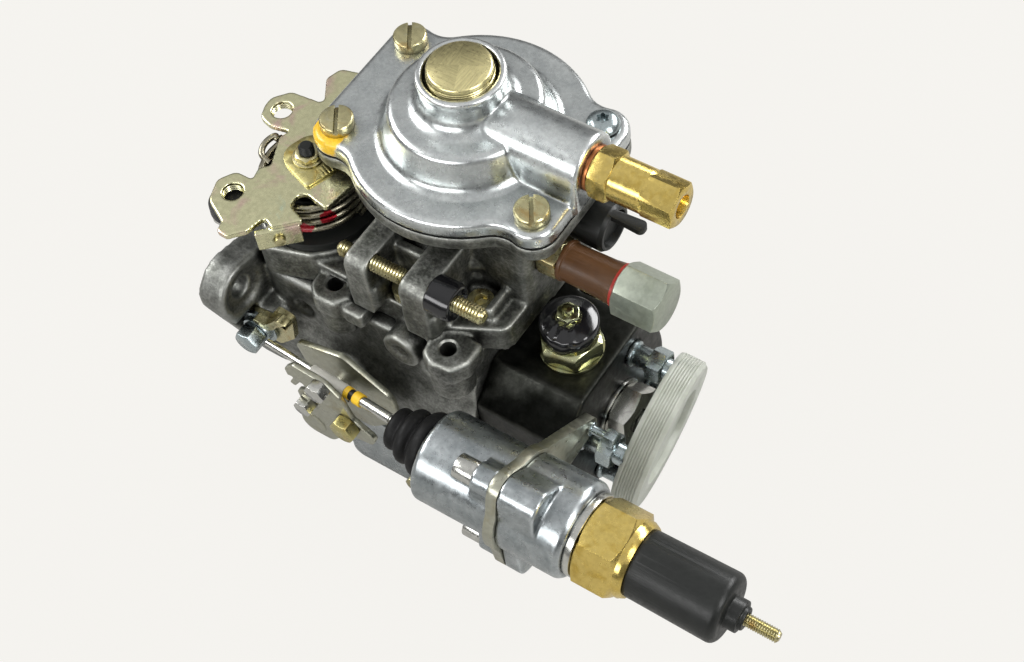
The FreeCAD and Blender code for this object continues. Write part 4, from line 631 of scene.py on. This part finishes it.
def plastic(name, colour, rough, size=0.8, depth=0.02, sheen=0.3):
    """Moulded plastic or rubber with a fine matt skin."""
    material, tree, shader = blank(name)
    shader.inputs["Specular IOR Level"].default_value = sheen
    low = tuple(value * 0.8 for value in colour)
    skin = ramp(tree, noise(tree, 5, 4, 0.6), (0.35, low), (0.65, colour))
    dress(tree, shader, skin, 1.6, (rough * 0.8, min(1, rough * 1.15)))
    relief(tree, shader, (noise(tree, size, 3, 0.6), depth, 0.7))
    return material


FINISH = {}


def make_finishes(colours):
    """Every finish of the pump, once."""
    paint = tuple(colours.paint)
    # Each casting darkens its colour in hollows as painted shade, each to its own depth.
    FINISH["housing"] = cast_metal("housing_casting_skin", (0.15, 0.155, 0.14),
                                   (0.33, 0.335, 0.315), rough=(0.4, 0.56), grain=0.9,
                                   depth=0.12, shade_depth=0.15, edge=0.1, speck=0.62)
    FINISH["cover"] = cast_metal("cover_blasted_skin", (0.12, 0.125, 0.11), (0.32, 0.325, 0.30),
                                 rough=(0.38, 0.56), grain=0.7, depth=0.16, shade_depth=0.12, edge=0.08,
                                 speck=0.52)
    FINISH["cap"] = cast_metal("cap_satin_skin", (0.52, 0.55, 0.55), (0.66, 0.69, 0.68),
                               rough=(0.24, 0.34), grain=0.5, depth=0.012, shade_depth=0.35, edge=0.1,
                               marks=((CAP_MARK, 8.0, paint),))
    FINISH["actuator"] = cast_metal("actuator_bright_skin", (0.28, 0.31, 0.32),
                                    (0.46, 0.49, 0.50), rough=(0.24, 0.36), grain=1.0,
                                    depth=0.012, shade_depth=0.35, edge=0.1)
    FINISH["head"] = cast_metal("head_black_skin", (0.018, 0.019, 0.016), (0.042, 0.043, 0.038),
                                rough=(0.3, 0.46), grain=0.9, depth=0.04, shade_depth=0.5, edge=0.15)
    FINISH["screw"] = plated("screw_yellow_zinc", (0.58, 0.53, 0.30), (0.50, 0.38, 0.17),
                             (0.60, 0.58, 0.40))
    FINISH["lever"] = plated("lever_olive_zinc", (0.72, 0.70, 0.44), (0.74, 0.56, 0.46),
                             (0.60, 0.70, 0.52), size=13, rough=(0.2, 0.32))
    FINISH["scale"] = plated("scale_plate_zinc", (0.56, 0.50, 0.22), (0.56, 0.40, 0.10),
                             (0.60, 0.57, 0.36), size=8)
    FINISH["blue"] = plated("blue_white_zinc", (0.44, 0.50, 0.51), (0.34, 0.41, 0.43),
                            (0.52, 0.56, 0.54), rough=(0.2, 0.34))
    FINISH["olive"] = plated("pale_grey_zinc", (0.44, 0.44, 0.36), (0.37, 0.35, 0.25),
                             (0.50, 0.50, 0.42), rough=(0.26, 0.42), size=9)
    FINISH["steel"] = plated("bright_steel", (0.62, 0.62, 0.58), (0.50, 0.50, 0.47),
                             (0.70, 0.69, 0.63), rough=(0.16, 0.28))
    FINISH["inner"] = plated("ground_steel", (0.40, 0.40, 0.40), (0.30, 0.30, 0.31),
                             (0.46, 0.46, 0.45))
    FINISH["solenoid"] = plated("solenoid_green_zinc", (0.52, 0.53, 0.32), (0.48, 0.44, 0.20),
                                (0.46, 0.54, 0.40), rough=(0.12, 0.24))
    FINISH["green"] = plated("cap_silver_green", (0.44, 0.48, 0.40), (0.38, 0.42, 0.34),
                             (0.50, 0.53, 0.45), rough=(0.3, 0.42))
    red = tuple(colours.spring_paint)
    FINISH["spring"] = plated("spring_oiled_steel", (0.36, 0.335, 0.25), (0.24, 0.22, 0.16),
                              (0.44, 0.42, 0.33), rough=(0.22, 0.34),
                              marks=[(place, 3.4, red) for place in SPRING_MARKS])
    FINISH["brass"] = plated("machined_brass", (0.74, 0.56, 0.17), (0.62, 0.44, 0.10),
                             (0.80, 0.64, 0.26), rough=(0.18, 0.3))
    FINISH["copper"] = plated("copper_washer", (0.56, 0.21, 0.08), (0.42, 0.14, 0.05),
                              (0.62, 0.27, 0.11), rough=(0.3, 0.45))
    FINISH["paint"] = plastic("yellow_paint", paint, rough=0.5, size=1.2, depth=0.06)
    FINISH["brown"] = plastic("sleeve_brown", (0.085, 0.038, 0.014), rough=0.4)
    FINISH["red"] = plastic("washer_red", (0.35, 0.03, 0.02), rough=0.4)
    FINISH["black"] = plastic("moulded_black", (0.011, 0.012, 0.011), rough=0.42)
    FINISH["gloss"] = plastic("potting_black", (0.006, 0.006, 0.007), rough=0.16, size=3, sheen=0.6)
    FINISH["rubber"] = plastic("black_rubber", (0.005, 0.005, 0.005), rough=0.55, depth=0.04,
                               sheen=0.2)
    FINISH["pale"] = plastic("pale_sleeve", (0.48, 0.47, 0.42), rough=0.45, size=1.5, depth=0.04)
    FINISH["milky"] = milky_plastic("cap_milky_plastic")
    FINISH["brushed"] = brushed_metal("plug_brushed_zinc", (0.86, 0.77, 0.40), CAP_CENTRE)


def brushed_metal(name, colour, at):
    """Zinc over a milled face, brushed in four sectors that meet at a centre, with two opposite
    sectors darker as a painted sheen.
    """
    material, tree, shader = blank(name, metal=1.0)
    low = tuple(value * 0.72 for value in colour)
    split = tree.nodes.new("ShaderNodeSeparateXYZ")
    turn = (0, 0, math.radians(20))
    shift = Matrix.Rotation(turn[2], 2) @ Vector(at)
    tree.links.new(coords(tree, (1, 1, 1), (*(-shift * MM), 0), turn), split.inputs["Vector"])
    sides = [figure(tree, "ABSOLUTE", split.outputs[side]) for side in ("X", "Y")]
    sector = figure(tree, "GREATER_THAN", *sides)
    along = noise(tree, 0.8, 4, 0.6, stretch=(0.1, 1.6, 1))
    across = noise(tree, 0.8, 4, 0.6, stretch=(1.6, 0.1, 1))
    lines = blend(tree, sector, along, across)
    skin = ramp(tree, lines, (0.35, low), (0.65, colour))
    # painted sheen: the sectors brushed one way are darker, standing in for how brushed lines catch
    # the light
    shade = blend(tree, sector, (0.86, 0.86, 0.86), (1.0, 1.0, 1.0))
    skin = blend(tree, 1.0, skin, shade, "MULTIPLY")
    dress(tree, shader, skin, 1.2, (0.24, 0.38))
    relief(tree, shader, (lines, 0.02, 0.6), (noise(tree, 0.4, 2, 0.6), 0.01, 0.5))
    return material


def milky_plastic(name):
    """Thin translucent white plastic."""
    material, tree, shader = blank(name)
    skin = ramp(tree, noise(tree, 8, 4, 0.6), (0.35, (0.40, 0.42, 0.36)),
                (0.65, (0.50, 0.52, 0.46)))
    shader.inputs["Subsurface Weight"].default_value = 0.6
    shader.inputs["Subsurface Radius"].default_value = (0.004, 0.004, 0.004)
    shader.inputs["Subsurface Scale"].default_value = 1.0
    shader.inputs["Transmission Weight"].default_value = 0.25
    dress(tree, shader, skin, 1.5, (0.28, 0.42))
    relief(tree, shader, (noise(tree, 2.0, 3, 0.6), 0.05, 0.5))
    return material


SLOT_FINISH = {
    "inner_steel": "inner", "spring_steel": "spring", "bright_steel": "steel",
    "screw_zinc": "screw", "actuator_cast": "actuator", "rubber_black": "rubber",
}


class PumpColours(bpy.types.PropertyGroup):
    """Colours that a user would change."""

    floor: bpy.props.FloatVectorProperty(
        name="Floor", description="Colour of the studio floor", subtype="COLOR", size=3,
        default=(0.93, 0.915, 0.88), min=0, max=1)
    paint: bpy.props.FloatVectorProperty(
        name="Paint marks", description="Colour of the inspector's paint marks", subtype="COLOR",
        size=3, default=(0.80, 0.50, 0.03), min=0, max=1)
    spring_paint: bpy.props.FloatVectorProperty(
        name="Spring mark", description="Colour of the marks on the return spring",
        subtype="COLOR", size=3, default=(0.36, 0.02, 0.03), min=0, max=1)


class PumpSizes(bpy.types.PropertyGroup):
    """Sizes that a user would change."""

    camera_azimuth: bpy.props.FloatProperty(
        name="Camera azimuth", description="Turn of the camera about the pump", unit="ROTATION",
        default=math.radians(41.07))
    camera_elevation: bpy.props.FloatProperty(
        name="Camera elevation", description="Height of the camera above the horizon",
        unit="ROTATION", default=math.radians(55.38))
    camera_roll: bpy.props.FloatProperty(
        name="Camera roll", description="Turn of the camera about its own sight line",
        unit="ROTATION", default=math.radians(-9.25))
    camera_distance: bpy.props.FloatProperty(
        name="Camera distance", description="From the camera to the point that it looks at",
        unit="LENGTH", default=0.691)


class PUMP_OT_stage(bpy.types.Operator):
    """Set up the floor, the soft lights and the camera"""

    bl_idname = "pump.stage"
    bl_label = "Stage"

    def execute(self, context):
        scene = context.scene
        sizes = scene.pump_sizes
        low = CAD_BOUNDS[0][2]
        bpy.ops.object.select_all(action="DESELECT")
        bpy.ops.mesh.primitive_plane_add(size=FLOOR_SIZE,
                                         location=(*LAMP_TARGET[:2], low - FLOOR_GAP))
        floor = context.object
        floor.name = "studio_floor"
        settle(floor)
        material, tree, shader = blank("studio_floor_paint")
        tint = scene.pump_colours.floor
        skin = ramp(tree, noise(tree, 300, 2, 0.4), (0.3, [v * 0.99 for v in tint]), (0.7, tint))
        shade = blend(tree, 1.0, skin, [FLOOR_BOUNCE] * 3, "MULTIPLY")
        tree.links.new(shade, shader.inputs["Base Color"])
        shader.inputs["Roughness"].default_value = 0.9
        shader.inputs["Specular IOR Level"].default_value = 0.1
        glow = tree.nodes.new("ShaderNodeEmission")
        tree.links.new(skin, glow.inputs["Color"])
        seen = tree.nodes.new("ShaderNodeLightPath")
        share = figure(tree, "MULTIPLY", seen.outputs["Is Camera Ray"], FLOOR_GLOW)
        mix = tree.nodes.new("ShaderNodeMixShader")
        tree.links.new(share, mix.inputs["Fac"])
        tree.links.new(shader.outputs["BSDF"], mix.inputs[1])
        tree.links.new(glow.outputs["Emission"], mix.inputs[2])
        tree.links.new(mix.outputs["Shader"], tree.nodes["Material Output"].inputs["Surface"])
        floor.data.materials.append(material)
        world = bpy.data.worlds.new("studio")
        scene.world = world
        world.use_nodes = True
        tree = world.node_tree
        back = tree.nodes["Background"]
        place = tree.nodes.new("ShaderNodeTexCoord")
        split = tree.nodes.new("ShaderNodeSeparateXYZ")
        tree.links.new(place.outputs["Generated"], split.inputs["Vector"])
        sky = ramp(tree, split.outputs["Z"], (0.0, 0.16), (0.45, 0.24), (0.72, 0.8), (1.0, 1.0))
        tree.links.new(sky, back.inputs["Color"])
        back.inputs["Strength"].default_value = SKY_STRENGTH
        for name, place, size, power in LAMPS:
            lamp = bpy.data.lights.new(name, "AREA")
            lamp.shape = "RECTANGLE"
            lamp.size, lamp.size_y = size
            lamp.energy = power
            holder = bpy.data.objects.new(name, lamp)
            scene.collection.objects.link(holder)
            holder.location = place
            aim = Vector(LAMP_TARGET) - Vector(place)
            holder.rotation_euler = aim.to_track_quat("-Z", "Y").to_euler()
        azimuth = sizes.camera_azimuth
        lift = sizes.camera_elevation
        roll = sizes.camera_roll
        backward = Vector((math.sin(azimuth) * math.cos(lift),
                           -math.cos(azimuth) * math.cos(lift), math.sin(lift)))
        right = Vector((0, 0, 1)).cross(backward).normalized()
        up = backward.cross(right)
        turned_right = right * math.cos(roll) + up * math.sin(roll)
        turned_up = up * math.cos(roll) - right * math.sin(roll)
        camera_data = bpy.data.cameras.new("photo_camera")
        camera_data.sensor_width = SENSOR_WIDTH
        camera_data.lens = CAMERA_LENS
        camera_data.clip_start = 0.01
        camera = bpy.data.objects.new("photo_camera", camera_data)
        scene.collection.objects.link(camera)
        turn = Matrix((turned_right, turned_up, backward)).transposed()
        camera.rotation_euler = turn.to_euler()
        camera.location = Vector(CAMERA_TARGET) + backward * sizes.camera_distance
        scene.camera = camera
        scene.view_settings.view_transform = "Standard"
        return {"FINISHED"}


def cover_forms():
    """Ledges, ribs and boss feet that melt into the governor cover's casting."""
    ledge = lathe("ledge", "z", CAP_CENTRE, [(31.0, 66.0), (34.6, 66.6), (35.4, 69.0),
                                             (34.2, 71.4), (31.0, 73.0)], 72)
    closed = lathe("tube_end", "y", COVER_TUBE, [(5.4, -39.8), (5.4, -30.0)], 32)
    foot = plate("boss_foot", rounded_line([
        (93.5, -28.0, 2), (93.0, -42.0, 3), (98.5, -45.4, 3), (107.5, -44.4, 3), (111.5, -38.0, 3),
        (111.5, -28.0, 2)], 5), 45.0, BOSS_TOP - 0.1, 1.2)
    pad = plate("boss_pad", rounded_line([
        (39.5, -26.0, 2), (39.5, -38.0, 4), (44.0, -42.6, 3), (53.0, -42.2, 3), (57.0, -36.0, 3),
        (57.0, -26.0, 2)], 5), 45.0, BOSS_TOP - 0.1, 1.2)
    forms = [ledge, closed, foot, pad]
    for start, end in ((56.4, 70.6), (81.4, 96.6)):
        root = plate("ear_root", rounded_line([(start, -35.8, 1.5), (end, -35.8, 1.5),
                                               (end, -14.0, 3), (start, -14.0, 3)], 4),
                     56.0, 68.0, 1.5)
        forms.append(root)
    forms.append(block("ear_rib", (69.0, -20.0, 58.0), (83.0, -15.5, 76.5), 1.0))
    forms.append(block("corner_rib", (107.0, -20.5, 56.0), (110.5, -8.0, 64.0), 1.0))
    return forms


class PUMP_OT_castings(bpy.types.Operator):
    """Cast housing, governor cover, boost cap, head and actuator"""

    bl_idname = "pump.castings"
    bl_label = "Castings"

    def execute(self, context):
        cast("pump_housing", "housing", 1.1)
        cover = cast("governor_cover", "cover", 0.9, passes=3, more=cover_forms())
        for boss in COVER_BOSSES:
            carve(cover, lathe("boss_hole", "z", boss, [
                (3.2, BOSS_TOP - 13), (3.2, BOSS_TOP - 0.7), (4.4, BOSS_TOP + 0.5),
                (0.5, BOSS_TOP + 0.5)], 32))
        cast("boost_cap", "cap", 0.6)
        cast("distributor_head", "head", 0.8)
        cast("actuator_body", "actuator", 0.6)
        cast("actuator_cover", "actuator", 0.6)
        return {"FINISHED"}


class PUMP_OT_boost(bpy.types.Operator):
    """Neck plug, flange screws and the brass union"""

    bl_idname = "pump.boost"
    bl_label = "Boost cap fittings"

    def execute(self, context):
        low, high = [Vector(corner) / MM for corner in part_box("boost_cap_plug")]
        radius = (high.x - low.x) / 2
        top = high.z
        plug = lathe("boost_cap_plug_turned", "z", CAP_CENTRE, [
            (radius, low.z), (radius, top - 1.1), (radius - 0.3, top - 0.4),
            (radius - 0.9, top), (0.4, top)], 96, SHADE)
        ridge = thread("boost_cap_plug_ridge", "z", CAP_CENTRE, top - 7.5, top - 2.5,
                       radius - 0.05, 1.0, 0.3, sides=48)
        stand_in(joined(plug, ridge), "boost_cap_plug", "brushed", edge=0)
        for piece in islands("boost_cap_screws", "boost_cap_screw"):
            spot = centre_of(piece)
            if spot.x > CAP_CENTRE[0] and spot.y > CAP_CENTRE[1]:
                foot = spot.z - piece.dimensions.z / MM / 2
                rim = high_of("boost_cap_screws") - 3.6
                bpy.data.objects.remove(piece)
                dome = lathe("star_screw_dome", "z", spot.xy, [
                    (2.4, foot), (2.4, rim - 0.2), (6.0, rim - 0.2), (6.2, rim + 0.4),
                    (5.7, rim + 1.7), (4.4, rim + 2.9), (3.1, rim + 3.4), (0.4, rim + 3.45)], 48)
                star = rounded_line([(spot.x + reach * math.cos(k * math.pi / 6),
                                      spot.y + reach * math.sin(k * math.pi / 6), 0.35)
                                     for k, reach in enumerate([2.7, 1.8] * 6)], 3)
                carve(dome, plate("star_tool", star, rim + 1.6, rim + 6, edge=0))
                smooth(dome, 30)
                stand_in(dome, "boost_cap_screws", "blue", edge=0)
            else:
                turned_about(piece, spot, (0, 0, 1), SLOT_TURN)
                stand_in(piece, "boost_cap_screws", "screw", edge=0.4)
        machined("brass_inlet", "brass", edge=0.3)
        machined("inlet_washer", "copper")
        machined("diaphragm", "rubber", edge=0.05)
        return {"FINISHED"}


class PUMP_OT_throttle(bpy.types.Operator):
    """Throttle lever with its threaded eyes, scale plate, nut and return spring"""

    bl_idname = "pump.throttle"
    bl_label = "Throttle"

    def execute(self, context):
        lever = copy_of("throttle_lever", "throttle_lever_pressed")
        extras = []
        rims = []
        top = high_of("throttle_lever")
        for eye in LEVER_EYES:
            rim = lathe("eye_rim", "z", eye, [(6.6, top - 4.0), (7.4, top - 3.2), (7.4, top - 0.5),
                                              (6.8, top), (0.5, top)], 48)
            carve(rim, lathe("eye_bore", "z", eye, [
                (EYE_BORE_R, top - 6), (EYE_BORE_R, top - 0.9), (EYE_BORE_R + 1.0, top + 0.2),
                (0.5, top + 0.2)], 48))
            rims.append(rim)
            extras.append(thread("eye_thread", "z", eye, top - 4.1, top - 1.1, EYE_BORE_R + 0.05,
                                 1.0, 0.45, 40))
        joined(lever, *rims)
        melted(lever, 0.35, 6)
        stand_in(joined(lever, *extras), "throttle_lever", "lever", edge=0)
        for piece in islands("lever_scale_plate", "scale_plate"):
            spot = centre_of(piece)
            if spot.z < top - 2:
                stand_in(piece, "lever_scale_plate", "screw")
            elif piece.dimensions.x / MM > NUT_WIDTH:
                marks = []
                for k in range(6):
                    across = -1.5 + 1.5 * k
                    reach = 3.0 if k % 2 else 4.2
                    mark = block("scale_mark",
                                 (SCALE_RIM - reach, across - SCALE_LINE, spot.z + 0.45),
                                 (SCALE_RIM + 1.2, across + SCALE_LINE, spot.z + 3), edge=0)
                    mark.location = Vector((*THROTTLE, 0)) * MM
                    mark.rotation_euler = (0, 0, math.radians(SCALE_TURN))
                    settle(mark)
                    marks.append(mark)
                carve(piece, joined(*marks))
                stand_in(piece, "lever_scale_plate", "scale", edge=0.18)
            else:
                stand_in(piece, "lever_scale_plate", "screw", edge=0.3)
        shaft_top = high_of("throttle_shaft")
        shaft = copy_of("throttle_shaft", "throttle_shaft_turned")
        ridge = thread("stub_thread", "z", THROTTLE, shaft_top - 4.6, shaft_top - 0.9,
                       2.6, 0.8, 0.3)
        stand_in(joined(shaft, ridge), "throttle_shaft", "black", edge=0)
        low, high = [Vector(corner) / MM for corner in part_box("throttle_return_spring")]
        coil_r = (high.x - low.x) / 2
        thick = SPRING_WIRE_R
        pitch = (high.z - low.z - 2 * thick - 0.4) / SPRING_TURNS
        spring = winding("throttle_spring", THROTTLE, low.z + thick, coil_r - thick, thick, pitch,
                         SPRING_TURNS)
        hook_z = high.z - thick
        x, y = THROTTLE
        hook = wire("throttle_spring_hook", [
            (x - coil_r + thick, y + 6.5, hook_z - 1.5), (x - coil_r + 0.6, y + 4.0, hook_z - 0.6),
            (4.6, -3.6, hook_z), (3.2, -7.5, hook_z + 0.2), (3.4, -11.5, hook_z - 0.3),
            (5.4, -14.4, hook_z - 1.2), (9.4, -14.6, hook_z - 2)], 1.25)
        stand_in(joined(spring, hook), "throttle_return_spring", "spring", edge=0)
        machined("spring_seat", "black", edge=0.5)
        pad = copy_of("lever_pad", "lever_pad_moulded")
        skirt = lathe("lever_pad_skirt", "z", PAD_CENTRE, [
            (6.6, top - 4.4), (8.3, top - 4.8), (8.5, top - 8.6), (7.6, top - 9.4),
            (4.6, top - 9.4)], 40)
        stand_in(joined(pad, skirt), "lever_pad", "black", edge=0)
        smooth(pad)
        return {"FINISHED"}


class PUMP_OT_fittings(bpy.types.Operator):
    """Stop screw with its collar, and the fittings in the cover's rear face"""

    bl_idname = "pump.fittings"
    bl_label = "Cover fittings"

    def execute(self, context):
        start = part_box("adjusting_screws")[0][0] / MM
        for piece in islands("adjusting_screws", "adjusting_spigot"):
            if centre_of(piece).z < STOP_SCREW[1] + 2:
                end = max(corner[0] for corner in piece.bound_box) / MM
                bpy.data.objects.remove(piece)
            else:
                stand_in(piece, "adjusting_screws", "screw")
        core = lathe("stop_screw_turned", "x", STOP_SCREW, [
            (1.9, start), (2.55, start + 0.8), (2.55, end - 0.8), (1.9, end)], 32, SHADE)
        ridge = thread("stop_screw_thread", "x", STOP_SCREW, start + 0.9, end - 1.2,
                       2.6, 1.25, 0.6, 32)
        stand_in(joined(core, ridge), "adjusting_screws", "screw", edge=0)
        for piece in islands("tamper_caps", "tamper_cap"):
            spot = centre_of(piece)
            if (spot.yz - Vector(STOP_SCREW)).length > 3:
                stand_in(piece, "tamper_caps", "black", edge=0.35)
                continue
            half = piece.dimensions.x / MM / 2
            near = spot.x - half
            far = spot.x + half
            bpy.data.objects.remove(piece)
            collar = lathe("stop_screw_collar", "x", STOP_SCREW, [
                (3.0, near), (6.9, near), (7.4, near + 0.6), (7.5, far - 2.4), (6.9, far - 0.4),
                (6.3, far), (5.3, far), (4.7, far - 1.2), (2.7, far - 1.4)], 56, SHADE)
            stand_in(collar, "tamper_caps", "gloss", edge=0)
        machined("return_fitting", "screw", edge=0.35)
        machined("return_cap", "green", edge=0.6)
        stand_in(copy_of("return_sleeve", "return_sleeve_moulded"), "return_sleeve", "brown",
                 edge=0.4)
        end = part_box("return_sleeve")[1][0] / MM
        washer = lathe("return_washer", "x", middle_of("return_sleeve"), [
            (7.4, end - 1.4), (8.3, end - 1.3), (8.3, end - 0.2), (7.4, end - 0.1)], 48, SHADE)
        wear(washer, FINISH["red"], body_of("return_sleeve"))
        return {"FINISHED"}


class PUMP_OT_head(bpy.types.Operator):
    """Solenoid, delivery holders, central plug and the ribbed dust cap"""

    bl_idname = "pump.head"
    bl_label = "Head fittings"

    def execute(self, context):
        for piece in islands("shutoff_solenoid", "solenoid"):
            wide = piece.dimensions.x / MM > NUT_WIDTH
            stand_in(piece, "shutoff_solenoid", "solenoid" if wide else "screw", edge=0.4)
        x, y = SOLENOID
        top = SOLENOID_RIM
        radius = SOLENOID_R
        skin = lathe("solenoid_potting", "z", SOLENOID, [
            (radius + 0.02, top - 5.0), (radius + 0.2, top - 4.8), (radius + 0.22, top - 0.6),
            (radius - 0.5, top + 0.25), (radius - 2.0, top + 0.6), (7.0, top + 1.6),
            (5.2, top + 1.9), (4.4, top + 1.9), (0.5, top + 1.7)], 96)
        for vertex in skin.data.vertices:
            angle = math.atan2(vertex.co.y / MM - y, vertex.co.x / MM - x)
            if vertex.co.z / MM < top - 4:
                vertex.co.z += (1.5 * math.sin(2 * angle + 1) + 0.7 * math.sin(5 * angle)) * MM
            elif vertex.co.z / MM > top:
                vertex.co.z += 0.25 * math.sin(4 * angle + vertex.co.x / MM) * MM
        smooth(skin, 60)
        wear(skin, FINISH["gloss"], body_of("shutoff_solenoid"))
        machined("delivery_valve_holders", "blue", edge=0.35)
        machined("central_plug", "steel", edge=0.8)
        machined("delivery_dust_cap", "milky", edge=0.3)
        return {"FINISHED"}


class PUMP_OT_cold_start(bpy.types.Operator):
    """Cold-start levers, push rod with its boot, and the wax actuator's fittings"""

    bl_idname = "pump.cold_start"
    bl_label = "Cold start"

    def execute(self, context):
        machined("actuator_clamp_plate", "olive", edge=0.6)
        machined("cold_start_stop_plate", "olive", edge=0.8)
        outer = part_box("cold_start_lever")[0][1] / MM
        outline = rounded_line([
            (43.0, 35.0, 2), (47.5, 40.6, 3), (62.0, 39.4, 6), (68.6, 33.0, 4), (72.0, 21.0, 4),
            (82.0, 15.0, 3), (79.5, 9.2, 3), (68.0, 7.6, 3), (57.5, -5.6, 5), (43.5, -5.6, 6),
            (43.5, 8.0, 5), (47.0, 15.0, 2), (46.0, 22.0, 2), (52.0, 26.5, 1), (50.0, 31.0, 1),
            (46.0, 25.0, 0.8), (43.6, 26.0, 0.6), (46.6, 31.4, 0.6), (43.6, 31.0, 0.5)], 6)
        lever = plate("cold_start_lever_pressed", outline, outer, outer + 2.4, 0.8, "y")
        stub = lathe("cold_start_stub", "y", COLD_PIVOT, [
            (5.6, outer + 0.2), (5.6, outer - 0.1), (4.6, outer - 0.5), (0.5, outer - 0.5)], 40)
        stand_in(joined(lever, stub), "cold_start_lever", "olive", edge=0)
        bracket = copy_of("side_bracket", "side_bracket_pressed")
        outline = rounded_line([
            (15.0, 27.0, 1), (21.0, 25.2, 2), (24.5, 28.0, 3), (29.5, 34.5, 4), (32.8, 33.0, 2),
            (32.8, 36.8, 2), (28.0, 37.0, 3), (22.5, 30.5, 3), (20.0, 28.6, 2), (15.0, 29.6, 1)], 5)
        lip = plate("side_bracket_lip", outline, -50.5, -46.5, 0.6, "y")
        stand_in(joined(bracket, lip), "side_bracket", "screw", edge=0)
        smooth(bracket)
        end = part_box("push_rod_boot")[1][0] / MM
        profile = [(9.0, end), (12.8, end - 0.2), (13.2, end - 1.6), (12.8, end - 4.4),
                   (11.4, end - 5.8), (9.2, end - 6.6), (9.0, end - 7.4), (10.6, end - 8.4),
                   (11.0, end - 10.2), (10.2, end - 12.2), (8.0, end - 13.2), (7.4, end - 14.0),
                   (8.4, end - 15.2), (8.3, end - 17.2), (7.4, end - 18.4), (5.0, end - 18.9),
                   (2.4, end - 18.4)]
        boot = lathe("push_rod_boot_moulded", "x", middle_of("push_rod_boot"), profile, 48)
        modify(boot, "SUBSURF", levels=1, render_levels=1)
        smooth(boot, 60)
        stand_in(boot, "push_rod_boot", "rubber", edge=0)
        for piece in islands("push_rod", "push_rod_part"):
            if piece.dimensions.x / MM > ROD_LENGTH:
                stand_in(piece, "push_rod", "steel", edge=0)
                smooth(piece)
            else:
                bpy.data.objects.remove(piece)
        start = Vector(ROD_FROM)
        along = (Vector(ROD_TO) - start).normalized()

        def on_rod(distance):
            return tuple(start + along * distance)

        sleeve = wire("push_rod_sleeve", [on_rod(25), on_rod(43)], 2.5, False)
        broken(sleeve, 0.7, 50)
        stand_in(sleeve, "push_rod", "pale", edge=0)
        clamp = wire("push_rod_clamp", [on_rod(43.4), on_rod(50)], 2.2, False)
        stand_in(clamp, "push_rod", "black", edge=0.5)
        for low, high, size in ((43.2, 45.4, 2.5), (47.8, 51.4, 2.6)):
            blob = wire("push_rod_paint", [on_rod(low), on_rod(high)], size, False)
            stand_in(blob, "push_rod", "paint", edge=0.6)
        core = wire("push_rod_end", [on_rod(51), on_rod(66)], 2.1, False)
        stand_in(core, "push_rod", "steel", edge=0)
        bolts = islands("cold_start_lever_bolts", "cold_start_bolt")
        bolts.sort(key=lambda piece: centre_of(piece).x)
        for piece, finish in zip(bolts, ("steel", "steel", "scale")):
            stand_in(piece, "cold_start_lever_bolts", finish, edge=0.45)
        for piece in islands("side_bolts", "side_bolt"):
            spot = centre_of(piece)
            finish = "blue" if spot.x < 40 or spot.y > -40 else "steel"
            stand_in(piece, "side_bolts", finish, edge=0.4)
        machined("brass_hex", "brass", edge=0.5)
        machined("heater_sleeve", "black", edge=0.4)
        start, end = [corner[0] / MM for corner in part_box("heater_stud")]
        middle = middle_of("heater_stud")
        stud = lathe("heater_stud_turned", "x", middle, [
            (2.0, start), (2.0, end - 0.8), (1.5, end)], 32, SHADE)
        ridge = thread("heater_stud_thread", "x", middle, start + 4, end - 1.0, 2.05, 0.9, 0.42, 32)
        stand_in(joined(stud, ridge), "heater_stud", "screw", edge=0)
        return {"FINISHED"}


class PUMP_OT_rest(bpy.types.Operator):
    """Break the corners and finish every other piece"""

    bl_idname = "pump.rest"
    bl_label = "Other pieces"

    def execute(self, context):
        for node, source in frame["nodes"].items():
            if source.hide_render:
                continue
            finish = SLOT_FINISH[slot_of(node)]
            if finish == "inner":
                source.data.materials.clear()
                source.data.materials.append(FINISH[finish])
            else:
                machined(node, finish)
        return {"FINISHED"}


class PUMP_PT_panel(bpy.types.Panel):
    """Pieces of the pump"""

    bl_label = "Injection Pump"
    bl_idname = "PUMP_PT_panel"
    bl_space_type = "VIEW_3D"
    bl_region_type = "UI"
    bl_category = "Injection Pump"

    def draw(self, context):
        layout = self.layout
        for operator in OPERATORS:
            layout.operator(operator.bl_idname)


OPERATORS = (PUMP_OT_stage, PUMP_OT_castings, PUMP_OT_boost, PUMP_OT_throttle,
             PUMP_OT_fittings, PUMP_OT_head, PUMP_OT_cold_start, PUMP_OT_rest)
GROUPS = (PumpColours, PumpSizes)


def register():
    for group in GROUPS + OPERATORS + (PUMP_PT_panel,):
        bpy.utils.register_class(group)
    bpy.types.Scene.pump_colours = bpy.props.PointerProperty(type=PumpColours)
    bpy.types.Scene.pump_sizes = bpy.props.PointerProperty(type=PumpSizes)


def unregister():
    del bpy.types.Scene.pump_sizes
    del bpy.types.Scene.pump_colours
    for group in reversed(GROUPS + OPERATORS + (PUMP_PT_panel,)):
        bpy.utils.unregister_class(group)


def main():
    register()
    make_finishes(bpy.context.scene.pump_colours)
    bpy.ops.pump.stage()
    bpy.ops.pump.castings()
    bpy.ops.pump.boost()
    bpy.ops.pump.throttle()
    bpy.ops.pump.fittings()
    bpy.ops.pump.head()
    bpy.ops.pump.cold_start()
    bpy.ops.pump.rest()


if __name__ == "__main__":
    main()
